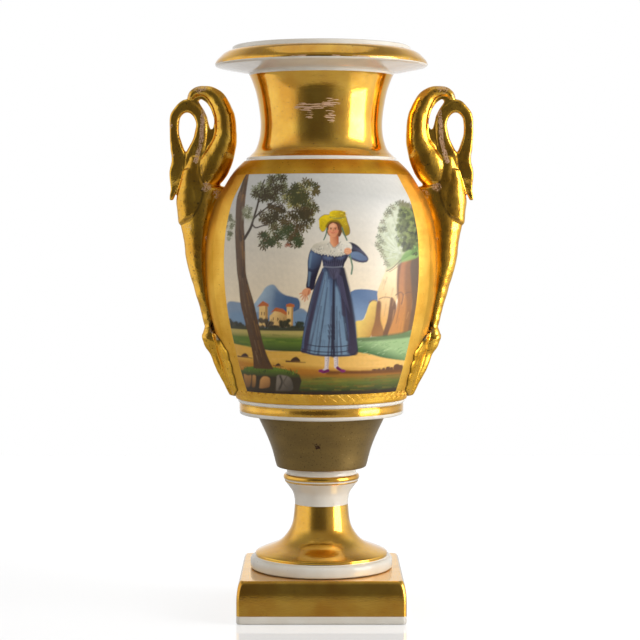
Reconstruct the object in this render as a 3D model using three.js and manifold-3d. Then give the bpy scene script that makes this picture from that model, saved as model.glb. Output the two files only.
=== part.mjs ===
// Mantel urn: a gilded porcelain vase on a trumpet foot and a square plinth, with two swan handles.
// Millimetres, +Z up, the origin on the table under the middle of the plinth, the painted side to -Y.

import * as THREE from 'three';
import { LoftGeometry } from 'three/addons/geometries/LoftGeometry.js';
import { mergeVertices } from 'three/addons/utils/BufferGeometryUtils.js';
import Module from 'manifold-3d';

const wasm = await Module();
wasm.setup();

// Driving dimensions
const PLINTH = { width: 93.8, height: 23.9, corner: 2.4, topRound: 2.7, wall: 5.5, deck: 6, holeRadius: 8 };
const FOOT = { bottom: 24.2, top: 81.3, ringRadius: 40.6, ringTop: 30.5, stemRadius: 15.2, knopRadius: 21.7, wall: 4 };
const CUP = { bottom: 81.6, radius: 25.2, top: 112.2 };
const LEDGE = { radius: 46.7, top: 121.2, proud: 0.8 };
const BODY = { bottomRadius: 48.6, girth: 65.9, shoulder: 255.5 };
const NECK = { bottomRadius: 41.7, waist: 34.5, top: 304.4 };
const LIP = { radius: 60.1, mouthRadius: 50.4, top: 320 };
const WALL = 4.6;
const JOINT_GAP = 0.3;
const BODY_SIDES = 40;
const FOOT_SIDES = 32;

const v = (x, y) => new THREE.Vector2(x, y);
const curve = (points, steps) => new THREE.SplineCurve(points).getPoints(steps);

// Turns the outline about Z. An outline is radius and height, with the outer side running upwards.
function turned(outline, sides = BODY_SIDES) {
  return new THREE.LatheGeometry(outline, sides).rotateX(Math.PI / 2);
}

// A closed mesh as a manifold solid: vertices merged, and the faces that collapsed on the axis left out.
function solid(geometry) {
  const bare = new THREE.BufferGeometry().copy(geometry);
  bare.deleteAttribute('normal');
  bare.deleteAttribute('uv');
  const merged = mergeVertices(bare, 1e-4);
  const index = merged.index.array;
  const faces = [];
  for (let i = 0; i < index.length; i += 3) {
    const [a, b, c] = [index[i], index[i + 1], index[i + 2]];
    if (a !== b && b !== c && c !== a) faces.push(a, b, c);
  }
  const mesh = new wasm.Mesh({
    numProp: 3,
    vertProperties: new Float32Array(merged.attributes.position.array),
    triVerts: new Uint32Array(faces),
  });
  return new wasm.Manifold(mesh);
}

function geometryOf(manifold) {
  const mesh = manifold.getMesh();
  const geometry = new THREE.BufferGeometry();
  geometry.setAttribute('position', new THREE.BufferAttribute(mesh.vertProperties, 3));
  geometry.setIndex(new THREE.BufferAttribute(mesh.triVerts, 1));
  return geometry;
}

const joined = (solids) => solids.reduce((whole, next) => whole.add(next));

// Outer side of the ovoid body, from the ledge up to the shoulder.
function bodySide(steps) {
  return curve([
    v(BODY.bottomRadius, LEDGE.top), v(55.6, 141), v(61.8, 164), v(65, 182), v(BODY.girth, 200),
    v(64.7, 216), v(60.6, 231.5), v(54.6, 242), v(49.6, 249.6), v(43.7, BODY.shoulder),
  ], steps);
}

function neckSide(steps) {
  return curve([
    v(NECK.bottomRadius, 257.8), v(37.2, 262.4), v(35.1, 269), v(NECK.waist, 276.5), v(35.3, 285),
    v(37.1, 294.3), v(40.8, NECK.top),
  ], steps);
}

// The hollow vessel: flared lip, neck, shoulder, ovoid body, ledge ring and cup, with a floor in the cup.
function urnBody() {
  const cupSide = curve([v(CUP.radius + 0.7, CUP.bottom + 1.6), v(28.2, 92), v(31.6, 100.8), v(36.9, CUP.top)], 3);
  const ledge = [
    v(LEDGE.radius - 0.8, CUP.top), v(LEDGE.radius, CUP.top + 0.9), v(LEDGE.radius, 119.1),
    v(LEDGE.radius + LEDGE.proud, 119.5), v(LEDGE.radius + LEDGE.proud, LEDGE.top),
  ];
  const shoulderLine = [v(42.5, 255.9), v(42.5, 257.3)];
  const lipUnder = [v(46, 306), v(LIP.radius - 0.5, 308.8), v(LIP.radius, 309.6)];
  const lipBevel = curve([v(58.8, 312.2), v(55.9, 315.3), v(LIP.mouthRadius + 1.6, 317.4)], 2);
  const lipTop = [v(LIP.mouthRadius, 317.6), v(LIP.mouthRadius, 319.3), v(49.4, LIP.top), v(48.2, 319.4)];
  const inside = curve([
    v(43.6, 312), v(36.8, 300), v(31.4, 286), v(30.4, 274), v(34, 260.5), v(43, 250), v(54.2, 235.5),
    v(60, 217), v(BODY.girth - WALL, 200), v(60.2, 182), v(56.6, 163), v(50, 139), v(44, 121),
    v(35.5, 110), v(27, 101), v(22.4, 92.5),
  ], 10);
  const floor = [v(14, 88.2), v(0, 87.8)];
  return turned([
    v(0, CUP.bottom), v(CUP.radius - 0.6, CUP.bottom), ...cupSide, ...ledge, ...bodySide(9), ...shoulderLine,
    ...neckSide(5), ...lipUnder, ...lipBevel, ...lipTop, ...inside, ...floor,
  ]);
}

// The foot: base ring, trumpet flare, stem, knop ring and collar. It is hollow, and open underneath.
function foot() {
  const inside = curve([v(13.5, 75), v(11.2, 66), v(11.4, 56), v(13.4, 44.5), v(21, 36), v(33.6, 29.6)], 5);
  const ring = [
    v(FOOT.ringRadius - FOOT.wall, FOOT.bottom), v(FOOT.ringRadius - 0.7, FOOT.bottom),
    v(FOOT.ringRadius, FOOT.bottom + 0.8), v(FOOT.ringRadius, FOOT.ringTop - 0.9),
    v(FOOT.ringRadius - 0.8, FOOT.ringTop), v(38.1, FOOT.ringTop),
  ];
  const flare = curve([
    v(37.6, 32.6), v(34.4, 34.4), v(24.6, 38.5), v(19.6, 43.4), v(16.4, 50), v(FOOT.stemRadius, 60.5),
    v(15.9, 66.5), v(20.4, 72.9),
  ], 8);
  const knop = [v(21, 73.9), v(FOOT.knopRadius, 75.4), v(FOOT.knopRadius, 76.8), v(20.6, 78)];
  const collar = [v(19.8, 78.3), v(19.8, FOOT.top), v(0, FOOT.top)];
  return turned([v(0, 76.6), v(12, 76.6), ...inside, ...ring, ...flare, ...knop, ...collar], FOOT_SIDES);
}

// The square plinth: softly rounded towards the top, hollow underneath, with a hole through its deck.
function plinth() {
  const half = PLINTH.width / 2 - PLINTH.topRound;
  const corner = PLINTH.corner;
  const square = new THREE.Shape();
  square.absarc(half - corner, half - corner, corner, 0, Math.PI / 2);
  square.absarc(corner - half, half - corner, corner, Math.PI / 2, Math.PI);
  square.absarc(corner - half, corner - half, corner, Math.PI, Math.PI * 1.5);
  square.absarc(half - corner, corner - half, corner, Math.PI * 1.5, Math.PI * 2);
  const round = PLINTH.height / 2;
  const block = new THREE.ExtrudeGeometry(square, {
    depth: round,
    bevelThickness: round,
    bevelSize: PLINTH.topRound,
    bevelSegments: 4,
    curveSegments: 2,
  });
  const below = new THREE.BoxGeometry(200, 200, 100).translate(0, 0, -50);
  const hollowWidth = PLINTH.width - 2 * PLINTH.wall;
  const hollowTop = PLINTH.height - PLINTH.deck;
  const hollow = new THREE.BoxGeometry(hollowWidth, hollowWidth, 2 * hollowTop);
  const hole = new THREE.CylinderGeometry(PLINTH.holeRadius, PLINTH.holeRadius, 60, 20).rotateX(Math.PI / 2);
  return geometryOf(solid(block).subtract(solid(below)).subtract(solid(hollow)).subtract(solid(hole)));
}

// A rounded form between two edges in the XZ plane. Each station is [edge A, edge B, half depth in Y],
// with A to the left of the direction of travel. The section is an ellipse from edge to edge.
function rounded(stations, steps, sides) {
  const edgeA = new THREE.SplineCurve(stations.map(([a]) => v(...a)));
  const edgeB = new THREE.SplineCurve(stations.map(([, b]) => v(...b)));
  const depth = new THREE.SplineCurve(stations.map(([, , half], i) => v(i, half)));
  const sections = [];
  for (let i = 0; i <= steps; i++) {
    const t = i / steps;
    const a = edgeA.getPoint(t);
    const b = edgeB.getPoint(t);
    const half = depth.getPoint(t).y;
    const section = [];
    for (let j = 0; j < sides; j++) {
      const angle = 2 * Math.PI * j / sides;
      const across = (1 + Math.cos(angle)) / 2;
      section.push(new THREE.Vector3(
        THREE.MathUtils.lerp(a.x, b.x, across), half * Math.sin(angle), THREE.MathUtils.lerp(a.y, b.y, across)));
    }
    sections.push(section);
  }
  return solid(new LoftGeometry(sections, { capStart: true, capEnd: true }));
}

// The swan's neck rises beside the wing, arches over and comes down, ending in the head and the beak.
function swanNeck() {
  return rounded([
    [[64, 248], [78.5, 250], 6], [[64.8, 256], [78.2, 257.5], 5.4], [[65, 264], [74.8, 264], 4.8],
    [[64.4, 270], [72.2, 270], 4.4], [[64.5, 277], [71, 275.5], 4.2], [[66.6, 283.5], [72, 279.5], 4.1],
    [[70.8, 288.6], [74.5, 282.4], 4], [[77, 290.3], [77.3, 282.6], 4], [[82.2, 287], [79.8, 280.2], 4],
    [[85.8, 281], [80.6, 275.8], 4], [[86.7, 272], [80.2, 270], 4], [[85.8, 263], [78.2, 263.6], 4.4],
    [[85.2, 255.7], [75.8, 256], 4.8], [[86.8, 248.5], [78.4, 247.5], 4.6], [[85.8, 241.5], [81, 240.5], 3.4],
    [[86.1, 237], [82.8, 236.6], 2.6], [[86.7, 234], [84.8, 233.8], 1.4],
  ], 25, 8);
}

// The raised wing: a comma-shaped shell whose tip curls over the swan's neck.
function wing() {
  return rounded([
    [[65, 240.6], [68.5, 241.2], 2.5], [[60.5, 243.2], [71.5, 245], 5], [[55, 248.4], [69.5, 250.5], 6],
    [[51, 254], [66.3, 255.5], 6.5], [[49, 261], [63.2, 262], 6.8], [[48, 269], [60.6, 268.5], 6.6],
    [[48.4, 277], [59.8, 276], 6.2], [[50.4, 285.3], [61.2, 283.3], 5.6], [[55, 293], [64.2, 289.3], 5],
    [[61.8, 297.6], [67.5, 291.8], 4.4], [[69.4, 298], [70.5, 291.6], 4], [[74.2, 295.2], [73, 289.4], 3.6],
    [[75.8, 291.6], [74.6, 288], 2],
  ], 16, 8);
}

// The thin web behind the gap between wing and neck, with the open slit through it.
function web() {
  const plate = rounded([
    [[60, 246], [72, 246], 3], [[57, 258], [70, 258], 2.6], [[56, 268], [68, 268], 2.4],
    [[56, 276], [67, 276], 2.4], [[58, 284], [69, 281], 2.4], [[62, 292], [74, 284], 2.4],
    [[70, 294], [77, 287], 2.4],
  ], 8, 6);
  const right = curve([v(63, 273.6), v(64, 278), v(65.2, 282), v(67.6, 286.2), v(69.5, 289.3)], 4);
  const left = curve([v(68.3, 290.4), v(64.8, 288.2), v(62, 283.6), v(60.9, 278), v(61.6, 273.6)], 5);
  const slit = new THREE.ExtrudeGeometry(new THREE.Shape([...right, ...left]), { depth: 40, bevelEnabled: false });
  slit.rotateX(Math.PI / 2).translate(0, 20, 0);
  return plate.subtract(solid(slit));
}

// Breast and tail of the swan, from the tail up to the breast behind the beak.
function breast() {
  return rounded([
    [[57, 150], [66, 151], 3.4], [[58, 158], [66.2, 159.5], 3.6], [[59.5, 170], [68.8, 170.5], 4.2],
    [[61.5, 182], [72.3, 182.5], 5], [[62, 195], [76, 196], 6], [[61, 207], [78.4, 208], 6.8],
    [[59, 220], [80.8, 220.5], 7.6], [[55, 231], [82.3, 229.5], 8], [[53.5, 240], [82, 235.5], 7.8],
    [[60.5, 243], [80.8, 242], 7.2], [[64, 250], [78.5, 250], 6.2], [[66, 258], [76.5, 258], 4.5],
  ], 15, 10);
}

// The knot under the tail and the rib of the leaf that runs down to the ledge.
function leafRib() {
  return rounded([
    [[47.5, 122], [52.2, 122.6], 2], [[48.5, 127], [54.9, 127.2], 3.8], [[50.5, 133], [58.3, 133.6], 4.8],
    [[52.5, 140], [62, 140.4], 5.2], [[55, 147], [64.8, 147.4], 5], [[56.5, 152], [67.8, 152.4], 6.4],
    [[57.5, 157.5], [67.8, 158.4], 6], [[59.5, 163], [65, 164], 2.4],
  ], 10, 8);
}

// The leaf's side lobes, lying on the body: a lobed outline pressed through a skin over the body.
function leafLobes() {
  const bottom = 122.6;
  const height = 35;
  const halfWidth = 14;
  const lobes = 4;
  const lobeDepth = 0.16;
  const rows = 16;
  const skin = 1.9;
  const edge = [];
  for (let i = 0; i <= rows; i++) {
    const t = i / rows;
    const notch = 1 - lobeDepth * (1 - Math.abs(Math.sin(lobes * Math.PI * t)));
    const width = halfWidth * Math.sin(Math.PI * Math.pow(0.04 + 0.92 * t, 0.85)) * notch;
    edge.push(v(width, bottom + height * t));
  }
  const outline = new THREE.Shape([...edge, ...edge.map((p) => v(-p.x, p.y)).reverse()]);
  const pressed = new THREE.ExtrudeGeometry(outline, { depth: 60, bevelEnabled: false });
  pressed.rotateX(Math.PI / 2).rotateZ(Math.PI / 2).translate(20, 0, 0);
  const side = bodySide(9).filter((p) => p.y < 190).map((p) => v(p.x + skin, p.y));
  const core = turned([v(0, LEDGE.top), ...side, v(0, side[side.length - 1].y)]);
  return solid(core).intersect(solid(pressed));
}

// The body's outer shape, a joint gap larger, which the handle's inner side is cut to.
function bodyWithGap() {
  const side = bodySide(9).map((p) => v(p.x + JOINT_GAP, p.y));
  return solid(turned([v(0, 100), v(BODY.bottomRadius + JOINT_GAP, 100), ...side, v(0, BODY.shoulder)]));
}

function handle() {
  const swan = joined([breast(), swanNeck(), wing(), web(), leafRib(), leafLobes()]);
  return geometryOf(swan.subtract(bodyWithGap()));
}

const burnishedGold = new THREE.MeshStandardMaterial({ color: 0xc08a28, roughness: 0.22, metalness: 1 });
const wornGold = new THREE.MeshStandardMaterial({ color: 0xb08028, roughness: 0.3, metalness: 1 });

function named(name, geometry, material) {
  const mesh = new THREE.Mesh(geometry, material);
  mesh.name = name;
  return mesh;
}

const urn = new THREE.Group();
urn.add(named('plinth', plinth(), burnishedGold));
urn.add(named('foot', foot(), burnishedGold));
urn.add(named('urn_body', urnBody(), burnishedGold));

const handleShape = handle();
urn.add(named('handle_right', handleShape, wornGold));
const handleLeft = named('handle_left', handleShape, wornGold);
handleLeft.rotation.z = Math.PI;
urn.add(handleLeft);

export default urn;
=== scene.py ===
import math
import random

import bmesh
import bpy
import numpy as np
from mathutils import Matrix, Vector, noise


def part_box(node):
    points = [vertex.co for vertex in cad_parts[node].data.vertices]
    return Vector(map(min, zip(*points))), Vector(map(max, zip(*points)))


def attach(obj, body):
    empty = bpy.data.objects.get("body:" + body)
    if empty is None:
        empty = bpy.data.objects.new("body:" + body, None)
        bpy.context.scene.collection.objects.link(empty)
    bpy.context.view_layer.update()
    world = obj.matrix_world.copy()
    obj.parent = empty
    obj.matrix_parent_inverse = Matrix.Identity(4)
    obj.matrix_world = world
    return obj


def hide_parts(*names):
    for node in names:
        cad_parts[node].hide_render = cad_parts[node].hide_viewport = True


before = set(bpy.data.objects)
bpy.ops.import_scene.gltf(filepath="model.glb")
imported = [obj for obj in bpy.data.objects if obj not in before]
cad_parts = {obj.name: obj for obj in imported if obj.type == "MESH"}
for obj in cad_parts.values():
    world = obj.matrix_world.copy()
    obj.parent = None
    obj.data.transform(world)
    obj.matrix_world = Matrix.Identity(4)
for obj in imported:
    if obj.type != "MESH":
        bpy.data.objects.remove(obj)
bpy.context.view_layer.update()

# The urn stands on a pale glossy table in a white studio. The camera looks down at it a little, from the
# height of the body's upper half, and the view transform keeps the light's own contrast.
table_side, table_front, table_back = 0.6, -0.5, 0.7
table_corners = [(-table_side, table_front, 0), (table_side, table_front, 0), (table_side, table_back, 0),
                 (-table_side, table_back, 0)]
table = bpy.data.meshes.new("table")
table.from_pydata(table_corners, [], [(0, 1, 2, 3)])
floor = bpy.data.objects.new("floor", table)
bpy.context.collection.objects.link(floor)


def finish_named(name, **sockets):
    """A new material whose Principled shader has these sockets set, and its node tree and shader."""
    material = bpy.data.materials.new(name)
    material.use_nodes = True
    shader = material.node_tree.nodes["Principled BSDF"]
    for socket, value in sockets.items():
        shader.inputs[socket.replace("_", " ")].default_value = value
    return material, material.node_tree, shader


def add_node(tree, kind, inputs=None, **settings):
    """A shader node. Each input, by name or number, takes a value or is joined to another node's socket."""
    node = tree.nodes.new("ShaderNode" + kind)
    for setting, value in settings.items():
        setattr(node, setting, value)
    for key, value in (inputs or {}).items():
        if isinstance(value, bpy.types.NodeSocket):
            tree.links.new(value, node.inputs[key])
        else:
            node.inputs[key].default_value = value
    return node


table_top, table_tree, table_shader = finish_named(
    "table_top", Base_Color=(0.6, 0.6, 0.6, 1), Roughness=0.03, Emission_Color=(1, 1, 1, 1))
table.materials.append(table_top)
# The table's pale glow is for the eye alone, so it doesn't light the urn.
table_glow = 0.42
seen_from = add_node(table_tree, "LightPath").outputs["Is Camera Ray"]
lit_through = add_node(table_tree, "Math", {0: seen_from, 1: table_glow}, operation="MULTIPLY")
table_tree.links.new(lit_through.outputs[0], table_shader.inputs["Emission Strength"])

camera_place = (-0.0008, -1.062, 0.2202)
camera_tilt = 2.955
camera_lens = 105
camera_data = bpy.data.cameras.new("camera")
camera_data.lens = camera_lens
camera = bpy.data.objects.new("camera", camera_data)
camera.location = camera_place
camera.rotation_euler = (math.radians(90 - camera_tilt), 0, 0)
bpy.context.collection.objects.link(camera)
bpy.context.scene.camera = camera
bpy.context.scene.view_settings.view_transform = "Standard"


def softbox(name, turn, distance, height, width, tall, power):
    """An area light aimed at the body, turn degrees to the right of the camera's side."""
    body_middle = 0.18
    data = bpy.data.lights.new(name, "AREA")
    data.shape = "RECTANGLE"
    data.size = width
    data.size_y = tall
    data.energy = power
    light = bpy.data.objects.new(name, data)
    angle = math.radians(turn)
    light.location = (distance * math.sin(angle), -distance * math.cos(angle), height)
    down = math.atan2(height - body_middle, distance)
    light.rotation_euler = (math.radians(90) - down, 0, angle)
    bpy.context.collection.objects.link(light)
    return light


softbox("window_right", turn=71, distance=1.6, height=0.4, width=0.95, tall=1.3, power=20)
glint = softbox("window_glint", turn=71, distance=1.6, height=0.4, width=0.95, tall=1.3, power=26)
glint.visible_diffuse = False
fill = softbox("front_fill", turn=-12, distance=2.2, height=0.9, width=1.6, tall=1.2, power=13)
fill.visible_glossy = False
overhead_data = bpy.data.lights.new("overhead", "AREA")
overhead_data.size = 1.5
overhead_data.energy = 3
overhead = bpy.data.objects.new("overhead", overhead_data)
overhead.location = (0, 0.15, 1.9)
bpy.context.collection.objects.link(overhead)

# The gold mirrors the studio's walls: nearly white at the left, dark behind the camera, bright at the right
# and behind the urn, under a grey ceiling. The camera itself sees plain white.
studio = bpy.data.worlds.new("studio")
studio.use_nodes = True
bpy.context.scene.world = studio
walls = studio.node_tree
walls.nodes.clear()
# Each pair is a turn in degrees to the right of the camera's side, and how bright the wall is there.
wall_light = [
    (-180, 1.0), (-160, 0.75), (-135, 0.62), (-116, 0.95), (-60, 0.94), (-51, 0.72), (-46, 0.46),
    (-40, 0.2), (-24, 0.1), (2, 0.11), (16, 0.16), (28, 0.34), (44, 0.5), (54, 0.9), (95, 1.15),
    (110, 0.98), (135, 0.66), (160, 0.75), (180, 1.0)]
ceiling_from, ceiling_full, ceiling_grey = 0.45, 0.8, (0.3, 0.3, 0.3, 1)
split = add_node(walls, "SeparateXYZ", {0: add_node(walls, "TexCoord").outputs["Generated"]})
forward = add_node(walls, "Math", {0: split.outputs["Y"], 1: -1}, operation="MULTIPLY")
bearing = add_node(walls, "Math", {0: split.outputs["X"], 1: forward.outputs[0]}, operation="ARCTAN2")
share = add_node(
    walls, "MapRange", {"Value": bearing.outputs[0], "From Min": -math.pi, "From Max": math.pi})
ramp = add_node(walls, "ValToRGB", {"Fac": share.outputs["Result"]})
while len(ramp.color_ramp.elements) < len(wall_light):
    ramp.color_ramp.elements.new(0.5)
for element, (turn, grey) in zip(ramp.color_ramp.elements, wall_light):
    element.position = (turn + 180) / 360
    element.color = (grey, grey, grey, 1)
high = add_node(
    walls, "MapRange", {"Value": split.outputs["Z"], "From Min": ceiling_from, "From Max": ceiling_full},
    interpolation_type="SMOOTHSTEP")
ceiling = add_node(
    walls, "Mix", {"Factor": high.outputs["Result"], "A": ramp.outputs["Color"], "B": ceiling_grey},
    data_type="RGBA")
around = add_node(walls, "Background", {"Color": ceiling.outputs["Result"]})
seen = add_node(walls, "Background", {"Color": (1, 1, 1, 1)})
camera_ray = add_node(walls, "LightPath").outputs["Is Camera Ray"]
chosen_light = add_node(walls, "MixShader", {"Fac": camera_ray, 1: around.outputs[0], 2: seen.outputs[0]})
add_node(walls, "OutputWorld", {"Surface": chosen_light.outputs[0]})

# The plinth: a square block cast hollow, its sides drawn in softly towards the top. It is white porcelain,
# gilded all over but for a line at its foot. The gold is fired on and burnished with an agate.
MM = 0.001
plinth_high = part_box("plinth")[1]
half_width = plinth_high.x / MM
plinth_top = plinth_high.z / MM
plinth_corner, inner_corner = 2.4, 2.6
plinth_draw = 2.7
straight_to = plinth_top / 2
white_line = 4.6
hollow_half = 41.4
hollow_top = 17.9
hole_radius = 8
between_radius = 20
flat_square = (36, 3)


def linear(red, green, blue):
    """A colour on the 0 to 255 scale as the shader's linear numbers."""
    channels = [value / 255 for value in (red, green, blue)]
    return tuple(c / 12.92 if c <= 0.04045 else ((c + 0.055) / 1.055) ** 2.4 for c in channels) + (1,)


def grain(tree, size, stretch=(1, 1, 1), detail=3.0):
    """Noise on the piece's own coordinates: its grain in millimetres, stretched along each axis."""
    place = add_node(tree, "TexCoord").outputs["Object"]
    scale = [1 / (size * MM * factor) for factor in stretch]
    mapping = add_node(tree, "Mapping", {"Vector": place, "Scale": scale})
    cloud = add_node(tree, "TexNoise", {"Vector": mapping.outputs["Vector"], "Scale": 1, "Detail": detail})
    return cloud.outputs["Fac"]


def ranged(tree, value, low, high, to_low=0.0, to_high=1.0):
    """The value taken from low..high to to_low..to_high, and held at the ends."""
    ends = {"Value": value, "From Min": low, "From Max": high, "To Min": to_low, "To Max": to_high}
    return add_node(tree, "MapRange", ends).outputs["Result"]


def combined(tree, operation, first, second):
    """One sum on two values."""
    return add_node(tree, "Math", {0: first, 1: second}, operation=operation).outputs[0]


def mixed(tree, factor, first, second):
    """A colour between first and second."""
    return add_node(tree, "Mix", {"Factor": factor, "A": first, "B": second},
                    data_type="RGBA").outputs["Result"]


def bumped(tree, shader, heights):
    """Stacks bumps, each (height value, depth in millimetres), into the shader's normal."""
    below = {}
    for height, depth in heights:
        bump = add_node(tree, "Bump", {"Distance": depth * MM, "Height": height, **below})
        below = {"Normal": bump.outputs["Normal"]}
    tree.links.new(below["Normal"], shader.inputs["Normal"])


def gilding(name, gold, deep, roughness, rubbed=0.0, streaks=0.06, pits=0.04, coat=1.0, scratch=None):
    """Gold with darker clouds, level burnishing streaks, fine pits and, where it is rubbed, pinkish white.

    With scratch, the gold is also scratched through where the piece's Rubbed attribute says so, in marks
    stretched along each axis by scratch. Where its shade attribute says so, the gold is painted dark, as
    shade in hollows and creases.
    """
    material, tree, shader = finish_named(
        name, Metallic=1.0, Roughness=roughness, Coat_Weight=coat, Coat_Roughness=0.08,
        Specular_Tint=(1.0, 0.8, 0.42, 1))
    clouds = ranged(tree, grain(tree, 14), 0.35, 0.7)
    colour = mixed(tree, clouds, linear(*gold), linear(*deep))
    level = grain(tree, 1.6, (14, 14, 0.35), 5.0)
    fine = grain(tree, 0.9, detail=2.0)
    specks = ranged(tree, fine, 0.74 - pits, 0.78 - pits)
    colour = mixed(tree, specks, colour, linear(60, 34, 8))
    worn = ranged(tree, grain(tree, 5, (1.6, 1.6, 0.5), 8.0), 0.80 - rubbed, 0.84 - rubbed)
    if scratch:
        marked = add_node(tree, "Attribute", attribute_name="Rubbed").outputs["Fac"]
        scratches = ranged(tree, grain(tree, 1.8, scratch, 8.0), 0.42, 0.62)
        here = combined(tree, "MULTIPLY", marked, scratches)
        worn = combined(tree, "MAXIMUM", worn, ranged(tree, here, 0.25, 0.45))
    colour = mixed(tree, worn, colour, linear(196, 158, 132))
    # Painted shade: the gold is darkened where the piece's shade attribute says so.
    painted_shade = add_node(tree, "Attribute", attribute_name="PaintedShade").outputs["Fac"]
    colour = mixed(tree, painted_shade, colour, linear(44, 26, 8))
    tree.links.new(colour, shader.inputs["Base Color"])
    tree.links.new(ranged(tree, worn, 0, 1, 1.0, 0.0), shader.inputs["Metallic"])
    polish = ranged(tree, level, 0.3, 0.7, roughness - streaks, roughness + streaks)
    dull = ranged(tree, worn, 0, 1, 0, 0.2)
    tree.links.new(combined(tree, "ADD", polish, dull), shader.inputs["Roughness"])
    bumped(tree, shader, [(grain(tree, 9, detail=2.0), 0.10), (level, 0.012), (fine, pits)])
    return material


def glaze(name, colour, shade):
    """Clear glaze over porcelain, with faint clouds and the odd dark speck from the kiln."""
    material, tree, shader = finish_named(name, Roughness=0.07, IOR=1.5)
    clouds = ranged(tree, grain(tree, 11), 0.3, 0.75)
    tinted = mixed(tree, clouds, linear(*colour), linear(*shade))
    specks = ranged(tree, grain(tree, 0.7, detail=1.0), 0.77, 0.80)
    tree.links.new(mixed(tree, specks, tinted, linear(150, 128, 96)), shader.inputs["Base Color"])
    bumped(tree, shader, [(grain(tree, 7, detail=2.0), 0.05)])
    return material


burnished_gold = gilding(
    "burnished_gold", (244, 190, 64), (222, 158, 32), 0.12, rubbed=0.02, streaks=0.05,
    scratch=(3.2, 3.2, 0.4))
white_glaze = glaze("white_glaze", (232, 226, 214), (222, 213, 198))


def placed(name, mesh):
    """The mesh as an object in the scene, with its faces turned outwards."""
    work = bmesh.new()
    work.from_mesh(mesh)
    bmesh.ops.remove_doubles(work, verts=work.verts, dist=1e-6)
    bmesh.ops.recalc_face_normals(work, faces=work.faces)
    work.to_mesh(mesh)
    work.free()
    piece = bpy.data.objects.new(name, mesh)
    bpy.context.collection.objects.link(piece)
    return piece


def formed(name, points, faces, materials=(), finishes=()):
    """A form in the scene from points in millimetres; with materials it is smooth, and finishes has
    the number of each face's material.
    """
    mesh = bpy.data.meshes.new(name)
    mesh.from_pydata([tuple(c * MM for c in point) for point in points], [], faces)
    if materials:
        for material in materials:
            mesh.materials.append(material)
        mesh.polygons.foreach_set("material_index", finishes)
        mesh.polygons.foreach_set("use_smooth", [True] * len(faces))
    return placed(name, mesh)


def square_loop(half, corner, height, per_corner=8, per_side=14):
    """Points of a square with round corners, all at one height, anticlockwise from above."""
    centre = half - corner
    quarter = []
    for step in range(per_corner + 1):
        angle = step / per_corner * math.pi / 2
        quarter.append((centre + corner * math.cos(angle), centre + corner * math.sin(angle)))
    quarter += [(centre - 2 * centre * step / per_side, half) for step in range(1, per_side)]
    loop = []
    for turn in range(4):
        cosine, sine = math.cos(turn * math.pi / 2), math.sin(turn * math.pi / 2)
        loop += [(x * cosine - y * sine, x * sine + y * cosine, height) for x, y in quarter]
    return loop


def round_like(loop, radius, height):
    """The loop's points drawn in to a circle at another height."""
    return [(radius * x / math.hypot(x, y), radius * y / math.hypot(x, y), height) for x, y, _ in loop]


def skinned(name, loops, finish_of, materials):
    """A closed skin over loops of equal length, from first to last and back to the first."""
    count = len(loops[0])
    faces, finishes = [], []
    for row, loop in enumerate(loops):
        after = (row + 1) % len(loops)
        for i in range(count):
            j = (i + 1) % count
            faces.append((row * count + i, row * count + j, after * count + j, after * count + i))
            finishes.append(finish_of(loop, loops[after]))
    return formed(name, [point for loop in loops for point in loop], faces, materials, finishes)


plinth_squares = [(hollow_half - 0.4, inner_corner, 0.3), (half_width - 1.1, plinth_corner, 0),
                  (half_width - 0.3, plinth_corner, 0.25)]
for height in (1.0, 2.6, white_line, white_line + 0.3, 7, 9.5, straight_to):
    plinth_squares.append((half_width, plinth_corner, height))
for step in range(1, 13):
    lean = step / 12 * math.pi / 2
    drawn = plinth_draw * (1 - math.cos(lean))
    rise = straight_to + (plinth_top - straight_to) * math.sin(lean)
    plinth_squares.append((half_width - drawn, plinth_corner + drawn * 0.3, rise))
plinth_squares += [(half_width - plinth_draw - 0.5, inner_corner, plinth_top), (*flat_square, plinth_top)]
plinth_loops = [square_loop(*square) for square in plinth_squares]
for radius, height in [(between_radius, plinth_top), (hole_radius, plinth_top), (hole_radius, hollow_top),
                       (between_radius, hollow_top)]:
    plinth_loops.append(round_like(square_loop(*flat_square, 0), radius, height))
for square in [(*flat_square, hollow_top), (hollow_half - 0.8, inner_corner, hollow_top),
               (hollow_half, inner_corner, hollow_top - 1)]:
    plinth_loops.append(square_loop(*square))
WHITE, GOLD = 0, 1


def plinth_finish(loop, after):
    """White for the hollow and the line at the foot, gold for the rest."""
    high = max(loop[0][2], after[0][2])
    inside = max(abs(loop[0][0]), abs(after[0][0])) < hollow_half + 0.1 and high < plinth_top - 0.1
    return WHITE if inside or high <= white_line + 0.01 else GOLD


plinth = skinned("gilded_plinth", plinth_loops, plinth_finish, [white_glaze, burnished_gold])
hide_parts("plinth")
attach(plinth, "root")

# The foot: base ring, trumpet flare, stem, knop and collar, thrown in one piece and hollow inside.
# It is white porcelain, with gold on the flare, a fine gold line and a gold knop.
foot_low, foot_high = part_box("foot")
foot_bottom = foot_low.z / MM
foot_top = foot_high.z / MM
ring_radius = foot_high.x / MM
ROUND = 2 * math.pi


def smooth_line(points, steps):
    """Points along the soft line through the given ones."""
    held = np.array([points[0], *points, points[-1]], float)
    at = np.linspace(0, len(points) - 1, steps + 1)
    first = np.minimum(at.astype(int), len(points) - 2)
    t = (at - first)[:, None]
    a, b, c, d = (held[first + shift] for shift in range(4))
    squared, cubed = 2 * a - 5 * b + 4 * c - d, 3 * b - a - 3 * c + d
    return [tuple(point) for point in 0.5 * (2 * b + (c - a) * t + squared * t ** 2 + cubed * t ** 3)]


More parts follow.
